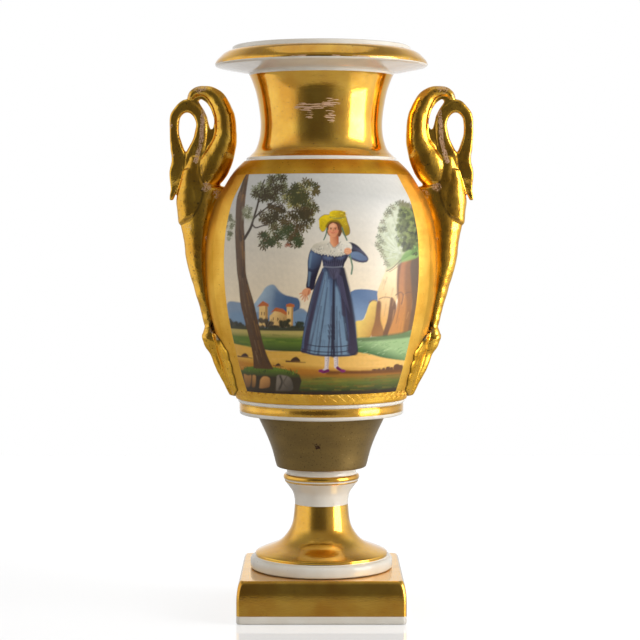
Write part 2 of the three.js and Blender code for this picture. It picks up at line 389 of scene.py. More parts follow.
def turned(name, runs, materials, turns, finish_at=None):
    """A closed form turned about Z. Each run is (material number, outline points as radius and height)."""
    outline, finishes = [], []
    for finish, run in runs:
        for place in run:
            if outline and math.dist(outline[-1], place) < 1e-4:
                continue
            outline.append(place)
            finishes.append(finish)
    points, rings = [], []
    for radius, height in outline:
        if radius < 1e-6:
            rings.append([len(points)] * len(turns))
            points.append((0, 0, height))
        else:
            rings.append(list(range(len(points), len(points) + len(turns))))
            points += [(radius * math.sin(turn), -radius * math.cos(turn), height) for turn in turns]
    faces, face_finishes = [], []
    for low, high, finish in zip(rings, rings[1:], finishes[1:]):
        for i, turn in enumerate(turns):
            j = (i + 1) % len(turns)
            face = tuple(dict.fromkeys([low[i], low[j], high[j], high[i]]))
            if len(face) < 3:
                continue
            faces.append(face)
            middle_turn = turn + (turns[j] - turn) % ROUND / 2
            face_finishes.append(finish_at(finish, middle_turn) if finish_at else finish)
    return formed(name, points, faces, materials, face_finishes)


foot_inside = smooth_line([(13.5, 75), (11.2, 66), (11.4, 56), (13.4, 44.5), (21, 36), (33.6, 29.6)], 24)
foot_flare = smooth_line([
    (37.7, 31.6), (37.4, 32.9), (34.2, 34.5), (24.6, 38.5), (19.6, 43.4), (16.4, 50), (15.2, 60.5)], 40)
foot_neck = smooth_line([(15.2, 60.5), (15.4, 63.6), (16.6, 67.8), (20.4, 72.9)], 16)
foot_runs = [
    (WHITE, [(0, 76.6), (12, 76.6)]),
    (WHITE, foot_inside),
    (WHITE, [(ring_radius - 4, foot_bottom), (ring_radius - 0.8, foot_bottom)]),
    (WHITE, [(ring_radius - 0.25, foot_bottom + 0.25), (ring_radius, foot_bottom + 0.9)]),
    (WHITE, [(ring_radius, 28), (ring_radius - 0.1, 29.2), (39.9, 30.2), (39.2, 30.5), (38.3, 30.6)]),
    (WHITE, [(37.9, 30.9), (37.75, 31.2)]),
    (GOLD, foot_flare),
    (WHITE, foot_neck),
    (WHITE, [(20.6, 73.2), (20.75, 73.35)]),
    (GOLD, [(20.95, 73.5), (21, 73.9), (21, 74.2)]),
    (WHITE, [(21.1, 74.6), (21.4, 75.1)]),
    (GOLD, [(21.65, 75.5), (21.7, 76.1), (21.6, 76.8), (21.2, 77.5), (20.6, 77.9)]),
    (WHITE, [(20, 78), (19.8, 78.3), (19.8, foot_top - 0.4)]),
    (WHITE, [(19.5, foot_top), (10, foot_top), (0, foot_top)]),
]
foot_turns = [ROUND * i / 192 for i in range(192)]
foot = turned("gilded_foot", foot_runs, [white_glaze, burnished_gold], foot_turns)
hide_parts("foot")
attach(foot, "root")

# The vessel: cup, ledge, ovoid body, neck and flared lip, thrown hollow and turned on the wheel.
# It is white porcelain inside; outside it is gilded, with a bronzed cup and white lines left bare.
vessel_low, vessel_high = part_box("urn_body")
cup_bottom = vessel_low.z / MM
rim_top = vessel_high.z / MM
girth = vessel_high.y / MM
under_paint = 0.06
ledge_top = 121.2
panel_bottom = 127.3
panel_top = 247.3
shoulder = 255.5
panel_turn = math.radians(54.2)
frame_turn = math.radians(66)
blemish_place = (-0.0025, -0.0299, 0.0962)
BRONZE, BODY, FRIEZE, SHOULDER, MATT, SIDE = 2, 3, 4, 5, 6, 7


def bronzed(name):
    """Dull bronze-coloured gold with clouds, specks, scuffs and one dark blemish from the kiln in front."""
    material, tree, shader = finish_named(name, Metallic=0.75, Roughness=0.34)
    clouds = ranged(tree, grain(tree, 16, (1.5, 1.5, 0.6), 6.0), 0.3, 0.75)
    colour = mixed(tree, clouds, linear(142, 116, 64), linear(118, 96, 54))
    specks = ranged(tree, grain(tree, 0.8, detail=2.0), 0.62, 0.75)
    colour = mixed(tree, specks, colour, linear(60, 44, 26))
    place = add_node(tree, "TexCoord").outputs["Object"]
    away = add_node(tree, "VectorMath", {0: place, 1: blemish_place}, operation="DISTANCE").outputs["Value"]
    ragged = combined(tree, "ADD", away, ranged(tree, grain(tree, 1.0), 0.3, 0.7, -0.8 * MM, 0.8 * MM))
    colour = mixed(tree, ranged(tree, ragged, 1.2 * MM, 1.9 * MM, 1.0, 0.0), colour, linear(58, 34, 20))
    scuffs = ranged(tree, grain(tree, 1.7, (1.4, 1.4, 0.5), 6.0), 0.68, 0.72)
    colour = mixed(tree, scuffs, colour, linear(170, 146, 92))
    tree.links.new(colour, shader.inputs["Base Color"])
    bumped(tree, shader, [(grain(tree, 1.2), 0.05)])
    return material


bronze_gold = bronzed("bronze_gold")
# Matt gold is left as it comes from the kiln; the body's sides are rubbed up only a little.
side_gold = gilding("side_gold", (232, 184, 88), (212, 160, 64), 0.36, streaks=0.02, pits=0.03, coat=0)
matte_gold = gilding("matte_gold", (243, 196, 92), (222, 168, 70), 0.42, pits=0.03, coat=0)
shoulder_gold = gilding("shoulder_gold", (224, 172, 54), (196, 136, 34), 0.4, coat=0.2)
frieze_gold = gilding("frieze_gold", (250, 198, 74), (226, 166, 50), 0.44, coat=0.3)

body_side = smooth_line([
    (48.6, ledge_top), (55.6, 141), (61.8, 164), (65, 182), (girth, 200), (64.7, 216), (60.6, 231.5),
    (54.6, 242), (49.6, 249.6), (43.7, shoulder)], 144)
body_heights = [height for _, height in body_side]
body_radii = [min(radius, girth) for radius, _ in body_side]


def body_radius(height):
    """The outer radius of the body at a height."""
    return np.interp(height, body_heights, body_radii)


def body_run(low, high, steps, inside=under_paint):
    """The body's outline between two heights, set in a little."""
    heights = np.linspace(low, high, steps + 1)
    return [(float(body_radius(height)) - inside, float(height)) for height in heights]


vessel_runs = [
    (WHITE, [(0, cup_bottom), (24.2, cup_bottom), (24.9, cup_bottom + 0.15)]),
    (BRONZE, smooth_line([
        (25.2, cup_bottom + 0.4), (25.9, 83.2), (28.2, 92), (31.6, 100.8), (36.7, 111.6)], 28)),
    (WHITE, [(36.9, 112.2), (45.5, 112.2), (46.3, 112.5), (46.7, 113.2), (46.7, 114.3)]),
    (GOLD, [(46.75, 114.5), (46.8, 116.8), (46.75, 119.0)]),
    (WHITE, [(46.8, 119.15), (47.3, 119.3), (47.5, 119.6), (47.5, 120.6), (47.3, 121.0), (48.2, 121.15)]),
    (FRIEZE, body_run(ledge_top + 0.1, panel_bottom, 6)),
    (BODY, body_run(panel_bottom, panel_top, 80)),
    (SHOULDER, body_run(panel_top, shoulder - 0.1, 14)),
    (WHITE, [(43.3, 255.7), (42.7, 255.9), (42.5, 256.2), (42.5, 257), (42.2, 257.4)]),
    (GOLD, smooth_line([
        (41.8, 257.6), (40.2, 258.9), (37.2, 262.4), (35.1, 269), (34.5, 276.5), (35.3, 285), (37.1, 294.3),
        (39.6, 301.5), (40.6, 303.6)], 54)),
    (WHITE, smooth_line([(40.8, 304.2), (41.6, 305.1), (46, 306), (59.2, 308.6)], 16)),
    (WHITE, [(59.8, 309), (60.05, 309.5)]),
    (GOLD, smooth_line([
        (60.1, 309.9), (59.8, 310.9), (58.8, 312.4), (55.9, 315.3), (53.4, 316.8), (51.4, 317.4)], 24)),
    (WHITE, [(50.7, 317.6), (50.4, 317.9), (50.4, 319), (50.1, 319.6)]),
    (WHITE, [(49.4, rim_top), (48.8, 319.9), (48.1, 319.3)]),
    (GOLD, [(47.2, 317.6), (46, 315.2)]),
    (WHITE, smooth_line([
        (43.6, 312), (36.8, 300), (31.4, 286), (30.4, 274), (34, 260.5), (43, 250), (54.2, 235.5),
        (60, 217), (61.3, 200), (60.2, 182), (56.6, 163), (50, 139), (44, 121),
        (35.5, 110), (27, 101), (22.4, 92.5)], 75)),
    (WHITE, [(20, 90), (14, 88.2), (0, 87.8)]),
]
edges = [panel_turn, frame_turn, math.pi - frame_turn, math.pi - panel_turn, math.pi]
zones = sorted(side * turn for side in (-1, 1) for turn in edges)
vessel_turns = []
for start, end in zip(zones, zones[1:]):
    steps = max(1, round((end - start) / math.radians(1.5)))
    vessel_turns += [start + (end - start) * i / steps for i in range(steps)]


def vessel_finish(finish, turn):
    """The body's gilding by its place: bright at the sides, matt round the two reserves."""
    if finish != BODY:
        return finish
    turn = abs((turn + math.pi) % ROUND - math.pi)
    from_reserve = min(turn, math.pi - turn)
    if from_reserve < panel_turn:
        return WHITE
    return MATT if from_reserve < frame_turn else SIDE


vessel_finishes = [white_glaze, burnished_gold, bronze_gold, burnished_gold, frieze_gold, shoulder_gold,
                   matte_gold, side_gold]
vessel = turned("vessel", vessel_runs, vessel_finishes, vessel_turns, vessel_finish)


def vectors_of(parts, field):
    """One field of a mesh's points or faces, a row of three numbers for each."""
    values = np.empty(len(parts) * 3)
    parts.foreach_get(field, values)
    return values.reshape(-1, 3)


def marked(mesh, name, values):
    """Gives each of the mesh's points a number for its material to read."""
    mesh.attributes.new(name, "FLOAT", "POINT").data.foreach_set("value", values)


# The gold is scratched through on the front of the neck and thin along the lip's two edges.
scratched_ovals = [(-8.4, 283.9, 6.5, 2.8), (5, 286.4, 5.5, 2.6), (-1, 284.6, 8, 1.4), (4.4, 279, 3.4, 4),
                   (-7, 279.4, 3, 2)]
lip_bottom, lip_edges = 309, (309.9, 317.4)
vessel_x, vessel_y, vessel_z = (vectors_of(vessel.data.vertices, "co") / MM).T
scratched = np.zeros(len(vessel_x))
for x, z, wide, tall in scratched_ovals:
    away = np.hypot((vessel_x - x) / wide, (vessel_z - z) / tall)
    scratched = np.maximum(scratched, np.clip(1.6 - 1.2 * away, 0, 1) * (vessel_y < 0))
from_edge = np.minimum(*(abs(vessel_z - edge) for edge in lip_edges))
scratched = np.maximum(scratched, 0.66 * np.clip(1 - from_edge / 0.8, 0, 1) * (vessel_z > lip_bottom))
marked(vessel.data, "Rubbed", scratched)
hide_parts("urn_body")
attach(vessel, "root")

# The frieze above the ledge is tooled with an agate: a chain of hatched lozenges, burnished into the matt
# gold, that stops either side of two upright bars at the front. The back reserve, which faces the wall, has
# only a gilt wreath. In both a motif is repeated along a path drawn round the vessel and pressed onto it.
def tooled_along(name, path_points, motif, material, count, closed):
    """Repeats a motif along a path, each one set on the vessel's surface and turned along the path."""
    curve = bpy.data.curves.new(name + " path", "CURVE")
    curve.dimensions = "3D"
    spline = curve.splines.new("POLY")
    spline.points.add(len(path_points) - 1)
    for point, place in zip(spline.points, path_points):
        point.co = (*(c * MM for c in place), 1)
    spline.use_cyclic_u = closed
    path = bpy.data.objects.new(name + " path", curve)
    bpy.context.collection.objects.link(path)
    tree = bpy.data.node_groups.new(name, "GeometryNodeTree")
    given = {"Path": "Object", "Motif": "Object", "Onto": "Object", "Count": "Int", "Finish": "Material"}
    for socket, kind in given.items():
        tree.interface.new_socket(socket, in_out="INPUT", socket_type="NodeSocket" + kind)
    tree.interface.new_socket("Tooling", in_out="OUTPUT", socket_type="NodeSocketGeometry")
    kinds = {
        "start": "NodeGroupInput", "end": "NodeGroupOutput", "path": "GeometryNodeObjectInfo",
        "motif": "GeometryNodeObjectInfo", "onto": "GeometryNodeObjectInfo",
        "spaced": "GeometryNodeResampleCurve", "closest": "GeometryNodeProximity",
        "place": "GeometryNodeInputPosition", "along": "GeometryNodeInputTangent",
        "inward": "ShaderNodeVectorMath", "turn": "FunctionNodeAxesToRotation",
        "put": "GeometryNodeInstanceOnPoints", "press": "GeometryNodeSetPosition",
        "real": "GeometryNodeRealizeInstances", "finish": "GeometryNodeSetMaterial"}
    node = {short: tree.nodes.new(kind) for short, kind in kinds.items()}
    node["inward"].operation = "SUBTRACT"
    node["turn"].primary_axis = "Y"
    node["turn"].secondary_axis = "X"
    for first, out, second, into in [
            ("start", "Path", "path", "Object"), ("start", "Motif", "motif", "Object"),
            ("start", "Onto", "onto", "Object"), ("start", "Count", "spaced", "Count"),
            ("start", "Finish", "finish", "Material"), ("path", "Geometry", "spaced", "Curve"),
            ("onto", "Geometry", "closest", 0), ("closest", "Position", "inward", 0),
            ("place", 0, "inward", 1), ("inward", 0, "turn", 0), ("along", 0, "turn", 1),
            ("spaced", 0, "put", "Points"), ("motif", "Geometry", "put", "Instance"),
            ("turn", 0, "put", "Rotation"), ("put", 0, "press", "Geometry"),
            ("closest", "Position", "press", "Position"), ("press", 0, "real", "Geometry"),
            ("real", 0, "finish", "Geometry"), ("finish", 0, "end", "Tooling")]:
        tree.links.new(node[first].outputs[out], node[second].inputs[into])
    piece = bpy.data.objects.new(name, bpy.data.meshes.new(name))
    bpy.context.collection.objects.link(piece)
    layer = piece.modifiers.new(name, "NODES")
    layer.node_group = tree
    chosen = {"Path": path, "Motif": motif, "Onto": vessel, "Count": count, "Finish": material}
    for item in tree.interface.items_tree:
        if item.in_out == "INPUT":
            layer[item.identifier] = chosen[item.name]
    depsgraph = bpy.context.evaluated_depsgraph_get()
    mesh = bpy.data.meshes.new_from_object(piece.evaluated_get(depsgraph))
    piece.modifiers.clear()
    piece.data = mesh
    for used in (path, motif):
        bpy.data.objects.remove(used)
    bpy.data.node_groups.remove(tree)
    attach(piece, "root")


def motif_of(name, lines, raised=0.07, sunk=0.12):
    """Closed lens-shaped strokes lying in the XZ plane. A line is (start, end, width in the middle)."""
    points, faces = [], []
    for (x0, z0), (x1, z1), width in lines:
        length = math.dist((x0, z0), (x1, z1))
        side = ((z0 - z1) / length * width / 2, (x1 - x0) / length * width / 2)
        first = len(points)
        points += [(x0, 0, z0), (x1, 0, z1)]
        for share in (0.25, 0.5, 0.75):
            swell = math.sin(math.pi * share) ** 0.7
            x, z = x0 + (x1 - x0) * share, z0 + (z1 - z0) * share
            points += [(x + side[0] * swell, 0, z + side[1] * swell), (x, -raised * swell, z),
                       (x - side[0] * swell, 0, z - side[1] * swell), (x, sunk * swell, z)]
        rings = [[first + 2 + 4 * row + i for i in range(4)] for row in range(3)]
        for i in range(4):
            j = (i + 1) % 4
            faces += [(first, rings[0][i], rings[0][j]), (first + 1, rings[2][j], rings[2][i])]
            for low, high in zip(rings, rings[1:]):
                faces.append((low[i], high[i], high[j], low[j]))
    return formed(name, points, faces)


frieze_radius, frieze_height = 52, (ledge_top + panel_bottom) / 2


def frieze_path(turns):
    """Places round the vessel at the frieze's height."""
    return [(frieze_radius * math.sin(turn), -frieze_radius * math.cos(turn),
             frieze_height) for turn in turns]


bar_turn = 0.036
chain_gap = 3.4
chain_turns = [math.radians(chain_gap + (360 - 2 * chain_gap) * i / 360) for i in range(361)]
corners = [(-2.6, 0), (0, 2.3), (2.6, 0), (0, -2.3)]
lozenge = [(corner, after, 0.26) for corner, after in zip(corners, corners[1:] + corners[:1])]
lozenge += [((-1.5 + 0.75 * i, -0.9), (-0.9 + 0.75 * i, 0.9), 0.2) for i in range(4)]
lozenge += [((2.6 + 0.5 * i, 1.3), (2.1 + 0.5 * i, 2.5), 0.18) for i in range(3)]
tooled_along(
    "frieze_lozenges", frieze_path(chain_turns), motif_of("lozenge", lozenge), matte_gold, count=58,
    closed=False)
bars = [((x, -2.5), (x, 2.5), 0.3) for x in (-0.5, 0.5)]
bar_path = frieze_path((-bar_turn, bar_turn))
tooled_along("frieze_bars", bar_path, motif_of("bars", bars), matte_gold, count=2, closed=False)
wreath_middle, wreath_half_width, wreath_half_height, behind_body = 192, 19, 22, 68
wreath_turns = [ROUND * i / 72 for i in range(72)]
wreath_path = [(-wreath_half_width * math.sin(turn), behind_body,
                wreath_middle + wreath_half_height * math.cos(turn)) for turn in wreath_turns]
sprig = [((-0.6, 0), (3.4, 0), 0.5), ((0, 0.2), (3.6, 2.8), 1.9), ((0, -0.2), (3.6, -2.8), 1.9)]
tooled_along("back_wreath", wreath_path, motif_of("sprig", sprig), burnished_gold, count=34, closed=True)

# The painted scene on the front: a country girl on a path between a tree and a rocky bank, painted in
# enamel colours over the glaze and fired. It is a thin skin, and its colours are laid on from the sky
# forwards. Places on it are in millimetres: across from the middle, as seen square-on, and height.
paint_rows, paint_columns, back_stride = 290, 320, 10
paint_thickness, paint_sunk = 0.1, 0.005
even = np.linspace(-1, 1, paint_columns + 1)
# The columns stand closer together in the middle, where the figure is.
column_turns = even * (0.74 + 0.26 * even ** 2) * panel_turn


def layered_skin(name, turns, heights, radius_of, thickness, stride):
    """A closed skin on the body: a fine front, and a back of coarser cells that shares its rim."""
    columns, rows = len(turns) - 1, len(heights) - 1
    turn_grid, height_grid = np.meshgrid(turns, heights)
    outer = radius_of(height_grid)
    layers = [
        np.stack([radius * np.sin(turn_grid), -radius * np.cos(turn_grid), height_grid], -1) * MM
        for radius in (outer, outer - thickness)]
    points = np.concatenate([layer.reshape(-1, 3) for layer in layers])
    offset = (columns + 1) * (rows + 1)

    def at(column, row, layer=0):
        """The number of a point of the grid: layer 0 is the front and layer 1 the back."""
        return layer * offset + row * (columns + 1) + column

    faces = [(at(c, r), at(c + 1, r), at(c + 1, r + 1),
              at(c, r + 1)) for r in range(rows) for c in range(columns)]
    for row in range(0, rows, stride):
        for column in range(0, columns, stride):
            left, right, low, high = column, min(column + stride, columns), row, min(row + stride, rows)
            below = range(left, right) if low == 0 else [left]
            beside = range(low, high) if right == columns else [low]
            above = range(right, left, -1) if high == rows else [right]
            back = range(high, low, -1) if left == 0 else [high]
            cell = [at(c, low, 1) for c in below] + [at(right, r, 1) for r in beside]
            cell += [at(c, high, 1) for c in above] + [at(left, r, 1) for r in back]
            faces.append(tuple(reversed(cell)))
    for c in range(columns):
        faces.append((at(c, 0, 1), at(c + 1, 0, 1), at(c + 1, 0), at(c, 0)))
        faces.append((at(c, rows), at(c + 1, rows), at(c + 1, rows, 1), at(c, rows, 1)))
    for r in range(rows):
        faces.append((at(0, r), at(0, r + 1), at(0, r + 1, 1), at(0, r, 1)))
        faces.append((at(columns, r, 1), at(columns, r + 1, 1), at(columns, r + 1), at(columns, r)))
    mesh = bpy.data.meshes.new(name)
    mesh.from_pydata(points.tolist(), [], faces)
    mesh.polygons.foreach_set("use_smooth", [True] * len(faces))
    return mesh, turn_grid.ravel(), height_grid.ravel(), outer.ravel()


row_heights = np.linspace(panel_bottom, panel_top, paint_rows + 1)
paint_mesh, paint_turn, up, paint_radius = layered_skin(
    "painted_scene", column_turns, row_heights, lambda height: body_radius(height) - paint_sunk,
    paint_thickness, back_stride)
across = paint_radius * np.sin(paint_turn)
along = girth * paint_turn
canvas = np.zeros((len(across), 3))
brush = random.Random(7)


def enamel(red, green, blue):
    """A colour on the 0 to 255 scale as three linear numbers."""
    return np.array(linear(red, green, blue)[:3])


def ripple(seed, size):
    """Soft noise over the painting, from -1 to 1, from a few crossed waves."""
    waves = random.Random(seed)
    total = np.zeros(len(across))
    for _ in range(7):
        angle = waves.uniform(0, ROUND)
        length = size * waves.uniform(0.6, 1.7)
        phase = waves.uniform(0, ROUND)
        total += np.sin((along * math.cos(angle) + up * math.sin(angle)) * ROUND / length + phase)
    return total / 4


def near(points, margin):
    """Which points of the painting lie in the box round these points."""
    low, high = np.min(points, 0) - margin, np.max(points, 0) + margin
    return np.flatnonzero((across > low[0]) & (across < high[0]) & (up > low[1]) & (up < high[1]))


def line_distance(here, start, end):
    """How far these points of the painting are from a line, and how far along it they lie."""
    dx, dy = end[0] - start[0], end[1] - start[1]
    share = ((across[here] - start[0]) * dx + (up[here] - start[1]) * dy) / (dx * dx + dy * dy + 1e-9)
    share = np.clip(share, 0, 1)
    return np.hypot(across[here] - start[0] - share * dx, up[here] - start[1] - share * dy), share


def lay(here, cover, colour):
    """Paints colour where cover is 1, and lets what is under it through where cover is less."""
    cover = np.clip(cover, 0, 1)[:, None]
    canvas[here] = canvas[here] * (1 - cover) + colour * cover


def rounded_loop(points, steps=5):
    """The outline as a soft closed line."""
    closed = smooth_line([points[-1], *points, points[0], points[1]], steps * (len(points) + 2))
    return closed[steps:-2 * steps]


def patch(points, colour, fade=None, soft=0.35, strength=1.0, round_off=True):
    """Fills an outline. fade is (colour, from, to): the colour changes to it between the two places."""
    outline = rounded_loop(points) if round_off else points
    here = near(outline, 1.5)
    closest = np.full(len(here), 1e9)
    inside = np.zeros(len(here), bool)
    x, y = across[here], up[here]
    for start, end in zip(outline, outline[1:] + outline[:1]):
        distance, _ = line_distance(here, start, end)
        closest = np.minimum(closest, distance)
        if start[1] != end[1]:
            crossing = start[0] + (y - start[1]) * (end[0] - start[0]) / (end[1] - start[1])
            inside ^= ((start[1] > y) != (end[1] > y)) & (x < crossing)
    depth = np.where(inside, closest, -closest)
    cover = np.clip(0.5 + depth / soft, 0, 1) * strength
    tone = np.tile(enamel(*colour), (len(here), 1))
    if fade:
        second, (x0, y0), (x1, y1) = fade
        share = ((x - x0) * (x1 - x0) + (y - y0) * (y1 - y0)) / ((x1 - x0) ** 2 + (y1 - y0) ** 2)
        share = np.clip(share, 0, 1)[:, None]
        tone = tone * (1 - share) + enamel(*second) * share
    lay(here, cover, tone)


def stroke(points, width, colour, end_width=None, soft=0.3, strength=1.0, steps=4):
    """A brush stroke along a soft line, from width to end_width."""
    end_width = width if end_width is None else end_width
    line = smooth_line(points, steps * (len(points) - 1)) if len(points) > 2 else points
    here = near(line, width + 1)
    best = np.full(len(here), -1e9)
    for i, (start, end) in enumerate(zip(line, line[1:])):
        distance, share = line_distance(here, start, end)
        half = width + (end_width - width) * (i + share) / (len(line) - 1)
        best = np.maximum(best, half / 2 - distance)
    lay(here, np.clip(0.5 + best / soft, 0, 1) * strength, enamel(*colour))


def spot(centre, width, height, colour, soft=0.4, strength=1.0, lean=0.0):
    """A soft oval dab."""
    reach = max(width, height)
    here = near([centre], reach)
    dx, dy = across[here] - centre[0], up[here] - centre[1]
    turned_x = dx * math.cos(lean) + dy * math.sin(lean)
    turned_y = dy * math.cos(lean) - dx * math.sin(lean)
    away = np.hypot(turned_x / width, turned_y / height)
    lay(here, np.clip((1 - away) * min(width, height) / soft + 0.5, 0, 1) * strength, enamel(*colour))


def drawn_from(value):
    """A number as it is, or one drawn between two."""
    return brush.uniform(*value) if isinstance(value, tuple) else value


def dashes(count, x_range, y_range, run, rise, width, colours, level=None, **look):
    """Short strokes scattered over a box, each going on by run and rise; level(x) lifts them."""
    for _ in range(count):
        x, y = brush.uniform(*x_range), brush.uniform(*y_range)
        y += level(x) if level else 0
        end = (x + drawn_from(run), y + drawn_from(rise))
        stroke([(x, y), end], width, brush.choice(colours), **look)


def in_oval(x, y, width, height, farthest=1.0, nearest=0.0):
    """A chance place in an oval, thicker towards its middle."""
    angle, far = brush.uniform(0, ROUND), brush.uniform(nearest, farthest)
    return x + width * far * math.cos(angle), y + height * far * math.sin(angle)


# The sky, the far hills and the water come first.
sky_share = np.clip((up - 172) / 62, 0, 1)[:, None]
canvas[:] = enamel(240, 220, 188) * (1 - sky_share) + enamel(200, 198, 192) * sky_share
# Painted light: the sky is darker at the left and lighter at the right, where the window light falls.
canvas *= (1 + 0.10 * np.clip(across / 40, -1, 1) + 0.03 * ripple(1, 40))[:, None]
patch([(-52, 176), (-45.5, 177.5), (-38.5, 176), (-9.5, 174.5), (-9, 160), (-52, 160)], (126, 142, 160),
      fade=((150, 166, 180), (0, 172), (0, 164)), soft=0.8)
patch([(-38.5, 172.5), (-35.5, 178), (-32, 183), (-30, 186), (-27, 187.5), (-25, 187), (-22.5, 184),
       (-19.5, 182), (-15.5, 181), (-12.5, 180), (-11.5, 176.5), (-13, 174), (-20, 172)], (156, 172, 184),
      fade=((72, 94, 124), (-33, 180), (-20, 176)), soft=0.6)
patch([(-25, 184), (-19.5, 181.5), (-13, 179.5), (-12, 176), (-18, 174), (-26, 176)], (78, 98, 126),
      soft=2.5, strength=0.7)
patch([(-50, 171), (-40, 172), (-25, 170), (-9, 172.5), (-9, 162), (-52, 162)], (112, 136, 160), soft=2.0,
      strength=0.75)
patch([(15.5, 183.7), (31, 183.7), (31, 178), (28, 177.5), (24, 172), (22, 168.5), (15.5, 167)],
      (96, 118, 150), fade=((140, 160, 186), (24, 180), (18, 169)), soft=0.4)

# The village by the water: cream walls, red roofs, and dark trees in front.
wall = (222, 184, 124)
wall_shade = (176, 134, 82)
roof = (180, 102, 62)
for outline, colour, fade in [
        ([(-33.7, 176), (-29, 176), (-29, 164.5), (-33.9, 164.5)], wall, None),
        ([(-30.4, 176), (-29, 176), (-29, 164.5), (-30.4, 164.5)], wall_shade, None),
        ([(-34.8, 175.3), (-33.4, 177), (-31.6, 178.6), (-28.6, 177), (-28.3, 175.6), (-31, 175.9)],
         roof, None),
        ([(-28, 170.5), (-24.5, 174), (-18, 171.5), (-18, 164.5), (-28, 164.5)], wall,
         (wall_shade, (-26, 168), (-19, 166))),
        ([(-27.4, 172.3), (-24.6, 175.2), (-20.5, 174.4), (-17.4, 171.4), (-18.2, 170.7), (-22, 172.6),
          (-25, 173.2)], roof, None),
        ([(-18.6, 176), (-15.2, 176), (-15.4, 164.5), (-18.7, 164.5)], wall, None),
        ([(-16.1, 176), (-15.2, 176), (-15.4, 164.5), (-16.3, 164.5)], wall_shade, None),
        ([(-19.2, 175.6), (-18.8, 177), (-16.8, 177.6), (-14.6, 176.9), (-14.4, 175.6)], roof, None)]:
    patch(outline, colour, fade, round_off=False)
for x, y, height in [(-32.3, 172.5, 1.5), (-30.9, 172.3, 1.4), (-17.6, 173, 1.3), (-26, 169.6, 1.2),
                     (-23.6, 169.6, 1.2)]:
    stroke([(x, y), (x, y - height)], 0.45, (96, 62, 42))
for x, y, width, height, colour in [
        (-45.5, 164.4, 4.5, 2.6, (58, 56, 44)), (-50, 165, 3, 3, (70, 66, 52)),
        (-30.2, 165.8, 5.0, 4.8, (86, 74, 58)), (-20.4, 166, 4.8, 4.8, (60, 56, 34)),
        (-12, 165, 4, 3.4, (50, 58, 44)), (-38.4, 164.2, 4, 2.4, (72, 64, 48)),
        (-25.4, 163.8, 3, 1.8, (64, 58, 40)), (-15.6, 163.8, 3, 1.8, (56, 58, 40))]:
    for _ in range(16):
        spot(in_oval(x, y - 0.5, width, height, 0.9, 0.2), 1.3, 1.1, colour, soft=0.8)
    for _ in range(7):
        lean = brush.uniform(-0.9, 0.9)
        stroke([(x, y - height * 0.6), (x + width * math.sin(lean), y + height * 0.8 * math.cos(lean))],
               0.4, (38, 34, 22), end_width=0.2, strength=0.7)

# Meadows and the path, with stones on it.
stroke([(-54, 163.2), (-30, 162.9), (-9, 163.2)], 2.2, (62, 62, 42), soft=1.0)
patch([(-54, 162.6), (-30, 162.4), (-9, 162.6), (-9, 150), (-54, 154)], (176, 158, 96),
      fade=((84, 104, 40), (0, 161), (0, 158)), soft=0.5, round_off=False)
patch([(-54, 158.5), (-9, 158), (-9, 151), (-28, 151.3), (-39, 152.8), (-54, 155)], (92, 112, 44),
      fade=((56, 68, 30), (0, 156), (0, 151.5)), soft=0.8, round_off=False)
for i in range(26):
    x = -50 + i * 1.7
    y = brush.uniform(152.5, 160.5)
    stroke([(x, y), (x + brush.uniform(3, 7), y + brush.uniform(-0.4, 0.4))], 0.7,
           brush.choice([(130, 138, 62), (66, 84, 32), (108, 124, 50)]), end_width=0.3, strength=0.55,
           soft=0.6)
path_left = (214, 166, 84)
path_right = (236, 190, 118)
patch([(-54, 155), (-39, 152.8), (-28, 151.3), (-9, 151.2), (20, 151.4), (34, 147.5), (56, 144), (56, 127),
       (-54, 127)], path_left, fade=(path_right, (-20, 146), (34, 146)), soft=0.6, round_off=False)
patch([(-54, 146), (-20, 143.5), (10, 141.5), (56, 140), (56, 127), (-54, 127)], (176, 116, 48),
      fade=((150, 92, 36), (0, 142), (0, 138)), soft=3.0, round_off=False, strength=0.9)
dashes(34, (-48, 44), (141, 150), (4, 12), (-0.5, 0.5), 0.9, [(228, 186, 110), (198, 146, 66),
        (218, 170, 92)], end_width=0.3, strength=0.35, soft=0.9)
for x, y, size in [(-42, 147.2, 1.0), (-14, 145.8, 1.25), (-23.5, 143.2, 0.65)]:
    stroke([(x - 4 * size, y), (x + 4.2 * size, y - 0.5)], 0.8 * size, (88, 58, 34), end_width=0.3,
           soft=0.5)
    patch([(x - 2 * size, y), (x - 1.2 * size, y + 1.5 * size), (x + 0.6 * size, y + 2 * size),
           (x + 2 * size, y)], (66, 44, 28), soft=0.5)

# The rocky bank at the right: pale slabs, brown shadow sides and a bush on top.
patch([(18, 167), (22.5, 168.5), (24, 172), (26, 177.5), (29.5, 179), (30.5, 173.5), (29, 166), (27.5, 161),
       (25, 158), (18, 157)], (238, 206, 122), fade=((190, 140, 76), (21, 168), (29.5, 164)), soft=0.5)
patch([(35, 196), (43, 200.5), (43, 187), (40, 176), (36.5, 159), (32, 159), (30.3, 178.5), (30.3, 184),
       (32.5, 190)], (240, 214, 170), fade=((226, 174, 104), (37, 192), (33, 168)), soft=0.5)
patch([(27, 159), (28.8, 168), (30, 178), (32.2, 177.3), (32, 168), (34.5, 158.5)], (122, 80, 48),
      fade=((160, 110, 64), (29, 176), (31, 160)), soft=0.9)
patch([(37.3, 180), (40, 178), (40.6, 173), (37.8, 162), (35.5, 158.5), (33.3, 160), (35.8, 169)],
      (112, 74, 46), soft=0.7)
patch([(41.5, 197), (46.5, 203), (51.5, 200), (50.6, 186.5), (49.5, 173), (47.4, 159), (40.5, 158.5),
       (36, 159), (39.3, 169), (41.3, 177.5), (41, 187)], (164, 106, 62), fade=((196, 134, 76), (45, 194),
        (42, 166)), soft=0.6)
